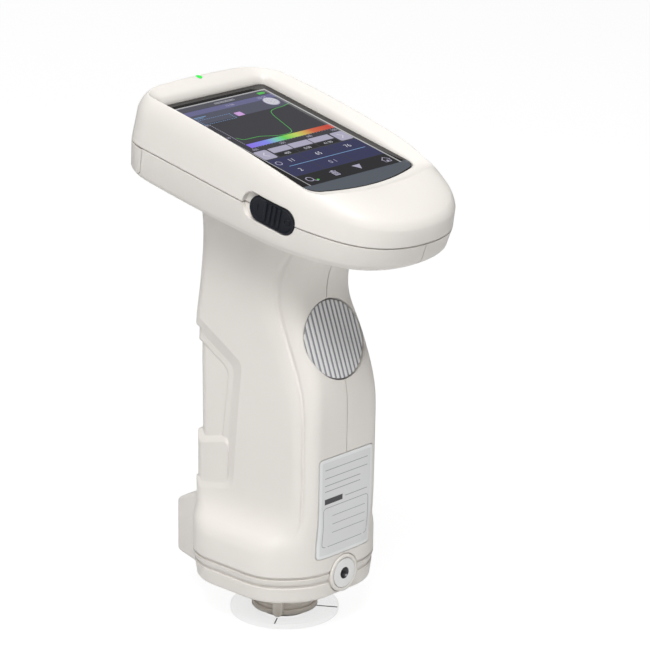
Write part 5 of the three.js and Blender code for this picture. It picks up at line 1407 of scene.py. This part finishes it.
# Measuring port, swivel ring and clear disc
def make_port():
    nose_top = DISC_THICKNESS + GAP
    bottom = nose_top + GAP
    flange = BASE_FLOOR + GAP
    top, seat = flange + SNOUT_FLANGE_THICKNESS, bottom + SNOUT_SEAT_DEPTH
    waist = SNOUT_RADIUS - 0.25
    snout = turned([
        (SNOUT_SEAT_RADIUS, bottom), (SNOUT_RADIUS - 0.5, bottom), (SNOUT_RADIUS, bottom + 0.5),
        (SNOUT_RADIUS, bottom + 3.2), (waist, bottom + 3.4), (waist, bottom + 3.9),
        (SNOUT_RADIUS, bottom + 4.1), (SNOUT_RADIUS, flange), (SNOUT_FLANGE_RADIUS, flange),
        (SNOUT_FLANGE_RADIUS, top), (SNOUT_BORE_RADIUS, top), (SNOUT_BORE_RADIUS, seat),
        (SNOUT_SEAT_RADIUS, seat),
    ])
    finish("port_snout", snout, TAUPE, replaces=["aperture_snout"])
    plug = SNOUT_SEAT_RADIUS - GAP
    nose = turned([
        (APERTURE_RADIUS, NOSE_LIFT), (NOSE_RADIUS - 0.6, NOSE_LIFT), (NOSE_RADIUS - 0.18, NOSE_LIFT + 0.18),
        (NOSE_RADIUS, NOSE_LIFT + 0.6), (NOSE_RADIUS, nose_top), (plug, nose_top), (plug, seat - GAP),
        (SNOUT_BORE_RADIUS, seat - GAP), (APERTURE_RADIUS, NOSE_LIFT + 0.6),
    ])
    finish("port_nose", nose, TAUPE, replaces=["aperture_cap"])

    inner, low = SNOUT_RADIUS + GAP, nose_top
    outer, high = inner + RING_WIDTH, low + RING_HEIGHT
    ring = turned([(inner, low), (outer - 0.15, low), (outer, low + 0.15), (outer, high - 0.35),
                   (outer - 0.35, high), (inner, high)], steps=128)
    half = LEG_WIDTH / 2
    foot = [(half * math.cos(a), low + half + half * math.sin(a)) for a in np.linspace(-math.pi, 0, 17)]
    outline = np.array([*foot, (half, LEG_TOP - LEG_CORNER), (half - LEG_CORNER, LEG_TOP),
                        (-half + LEG_CORNER, LEG_TOP), (-half, LEG_TOP - LEG_CORNER)])

    def place(points):
        across, up, out = points.T
        cos, sin = math.cos(LEG_ANGLE), math.sin(LEG_ANGLE)
        return np.stack([-out * sin + across * cos, -out * cos - across * sin, up], -1)

    reach = inner + LEG_DEPTH
    pivot = (0, low + 4)
    leg = loft([
        flat_ring(outline, SNOUT_RADIUS / 2), flat_ring(outline, reach - 0.7),
        *(flat_ring((outline - pivot) * share + pivot, reach - short)
          for share, short in ((0.94, 0.15), (0.8, 0))),
    ], place)
    leg = cut(leg, slab(circle(inner), low - OVERRUN, LEG_TOP + OVERRUN))
    finish("swivel_ring", union(ring, leg), TAUPE, body="stabilizer", replaces=["stabilizer_ring"])

    edge, round_by = DISC_RADIUS - DISC_EDGE, 0.08
    disc = turned([
        (DISC_HOLE_RADIUS, 0), (edge, 0), (DISC_RADIUS - round_by, round_by), (DISC_RADIUS, DISC_EDGE),
        (DISC_RADIUS, DISC_THICKNESS - DISC_EDGE), (DISC_RADIUS - round_by, DISC_THICKNESS - round_by),
        (edge, DISC_THICKNESS), (DISC_HOLE_RADIUS, DISC_THICKNESS),
    ], steps=160)
    finish("clear_disc", disc, CLEAR, body="stabilizer", replaces=["stabilizer_disc"])
    sheet = Sheet(moved(upright, 0, 0, DISC_THICKNESS))
    for angle, start, width in ((LEG_ANGLE, reach - 0.4, 0.5), (LINE_ANGLE, inner + 0.6, 0.9),
                                (LEG_ANGLE + math.pi, inner + 0.6, 0.5)):
        ray = np.array([-math.sin(angle), -math.cos(angle)])
        sheet.stroke([ray * start, ray * edge], width, INK, 1)
    finish("disc_cross_lines", sheet.piece(), sheet.materials, body="stabilizer")


make_top_cover()
make_body()
make_display()
make_status_light()
make_switch()
make_button()
make_label()
make_insert()
make_port()

# The pieces inside keep their shape and get the finish of their slot
FINISHES = {
    "ivory_abs": IVORY, "display": BLACK, "black_plastic": BLACK, "plated_steel": PLATED, "steel": METAL,
    "circuit_board": BOARD, "sphere_coating": COATING, "black_aluminium": ANODISED, "port_taupe": TAUPE,
    "grating_glass": GRATING, "battery_wrap": WRAP, "cover_glass": GLASS_INK, "clear_acrylic": CLEAR,
    "signal_green": LENS, "grey_rubber": GREY, "label": PAPER,
}
for entry in frame["record"]["subparts"]:
    mesh = frame["nodes"][entry["node"]].data
    mesh.materials.clear()
    mesh.materials.append(FINISHES[entry["material_slot"]])


def make_camera():
    az, el = CAMERA_AZIMUTH, CAMERA_ELEVATION
    back = Vector((math.sin(az) * math.cos(el), -math.cos(az) * math.cos(el), math.sin(el)))
    right = (-back).cross(Vector((0, 0, 1))).normalized()
    up = right.cross(-back)
    turn_right = right * math.cos(CAMERA_ROLL) + up * math.sin(CAMERA_ROLL)
    turn_up = up * math.cos(CAMERA_ROLL) - right * math.sin(CAMERA_ROLL)
    matrix = Matrix((turn_right, turn_up, back)).transposed().to_4x4()
    matrix.translation = (CAMERA_TARGET + Vector((0, AXIS_Y, 0)) + back * CAMERA_DISTANCE) * MM
    data = bpy.data.cameras.new("camera")
    data.sensor_width = SENSOR
    data.lens = FOCAL_PIXELS / IMAGE_PIXELS * SENSOR
    data.clip_end = 20
    camera = linked(data, "camera")
    camera.matrix_world = matrix
    bpy.context.scene.camera = camera


def make_floor():
    mesh = bpy.data.meshes.new("floor")
    half, level = FLOOR_HALF_SIZE, -FLOOR_DROP * MM
    corners = ((-half, -half, level), (half, -half, level), (half, half, level), (-half, half, level))
    mesh.from_pydata(corners, [], [(0, 1, 2, 3)])
    floor = linked(mesh, "floor")
    material = bpy.data.materials.new("floor_pale")
    material.use_nodes = True
    tree = material.node_tree
    tree.nodes.clear()
    path = add_node(tree, "LightPath")
    seen = add_node(tree, "Math", path.outputs["Is Camera Ray"], path.outputs["Is Transmission Ray"],
                    operation="MAXIMUM")
    share = add_node(tree, "Math", seen.outputs[0], *FLOOR_GLOW_SHARES, operation="MULTIPLY_ADD")
    diffuse = add_node(tree, "BsdfDiffuse", Color=FLOOR_COLOR)
    glow = add_node(tree, "Emission", Color=WHITE, Strength=FLOOR_GLOW)
    mix = add_node(tree, "MixShader", share.outputs[0], diffuse.outputs[0], glow.outputs[0])
    add_node(tree, "OutputMaterial", Surface=mix.outputs[0])
    mesh.materials.append(material)


def make_light():
    world = bpy.data.worlds.new("studio")
    bpy.context.scene.world = world
    world.use_nodes = True
    tree = world.node_tree
    dim = fill(tree.nodes["Background"], Color=WHITE, Strength=WORLD_LIGHT)
    backdrop = add_node(tree, "Background", Color=WHITE, Strength=1)
    path = add_node(tree, "LightPath")
    mix = add_node(tree, "MixShader", path.outputs["Is Camera Ray"], dim.outputs[0], backdrop.outputs[0])
    fill(tree.nodes["World Output"], Surface=mix.outputs[0])
    for name, spot, aim, size, power in LAMPS:
        data = bpy.data.lights.new(name, "AREA")
        data.shape = "RECTANGLE"
        data.size, data.size_y = size
        data.energy = power
        light = linked(data, name)
        light.location = spot
        light.rotation_euler = (Vector(aim) - Vector(spot)).to_track_quat("-Z", "Y").to_euler()


make_camera()
make_floor()
make_light()
bpy.context.scene.view_settings.view_transform = "Standard"
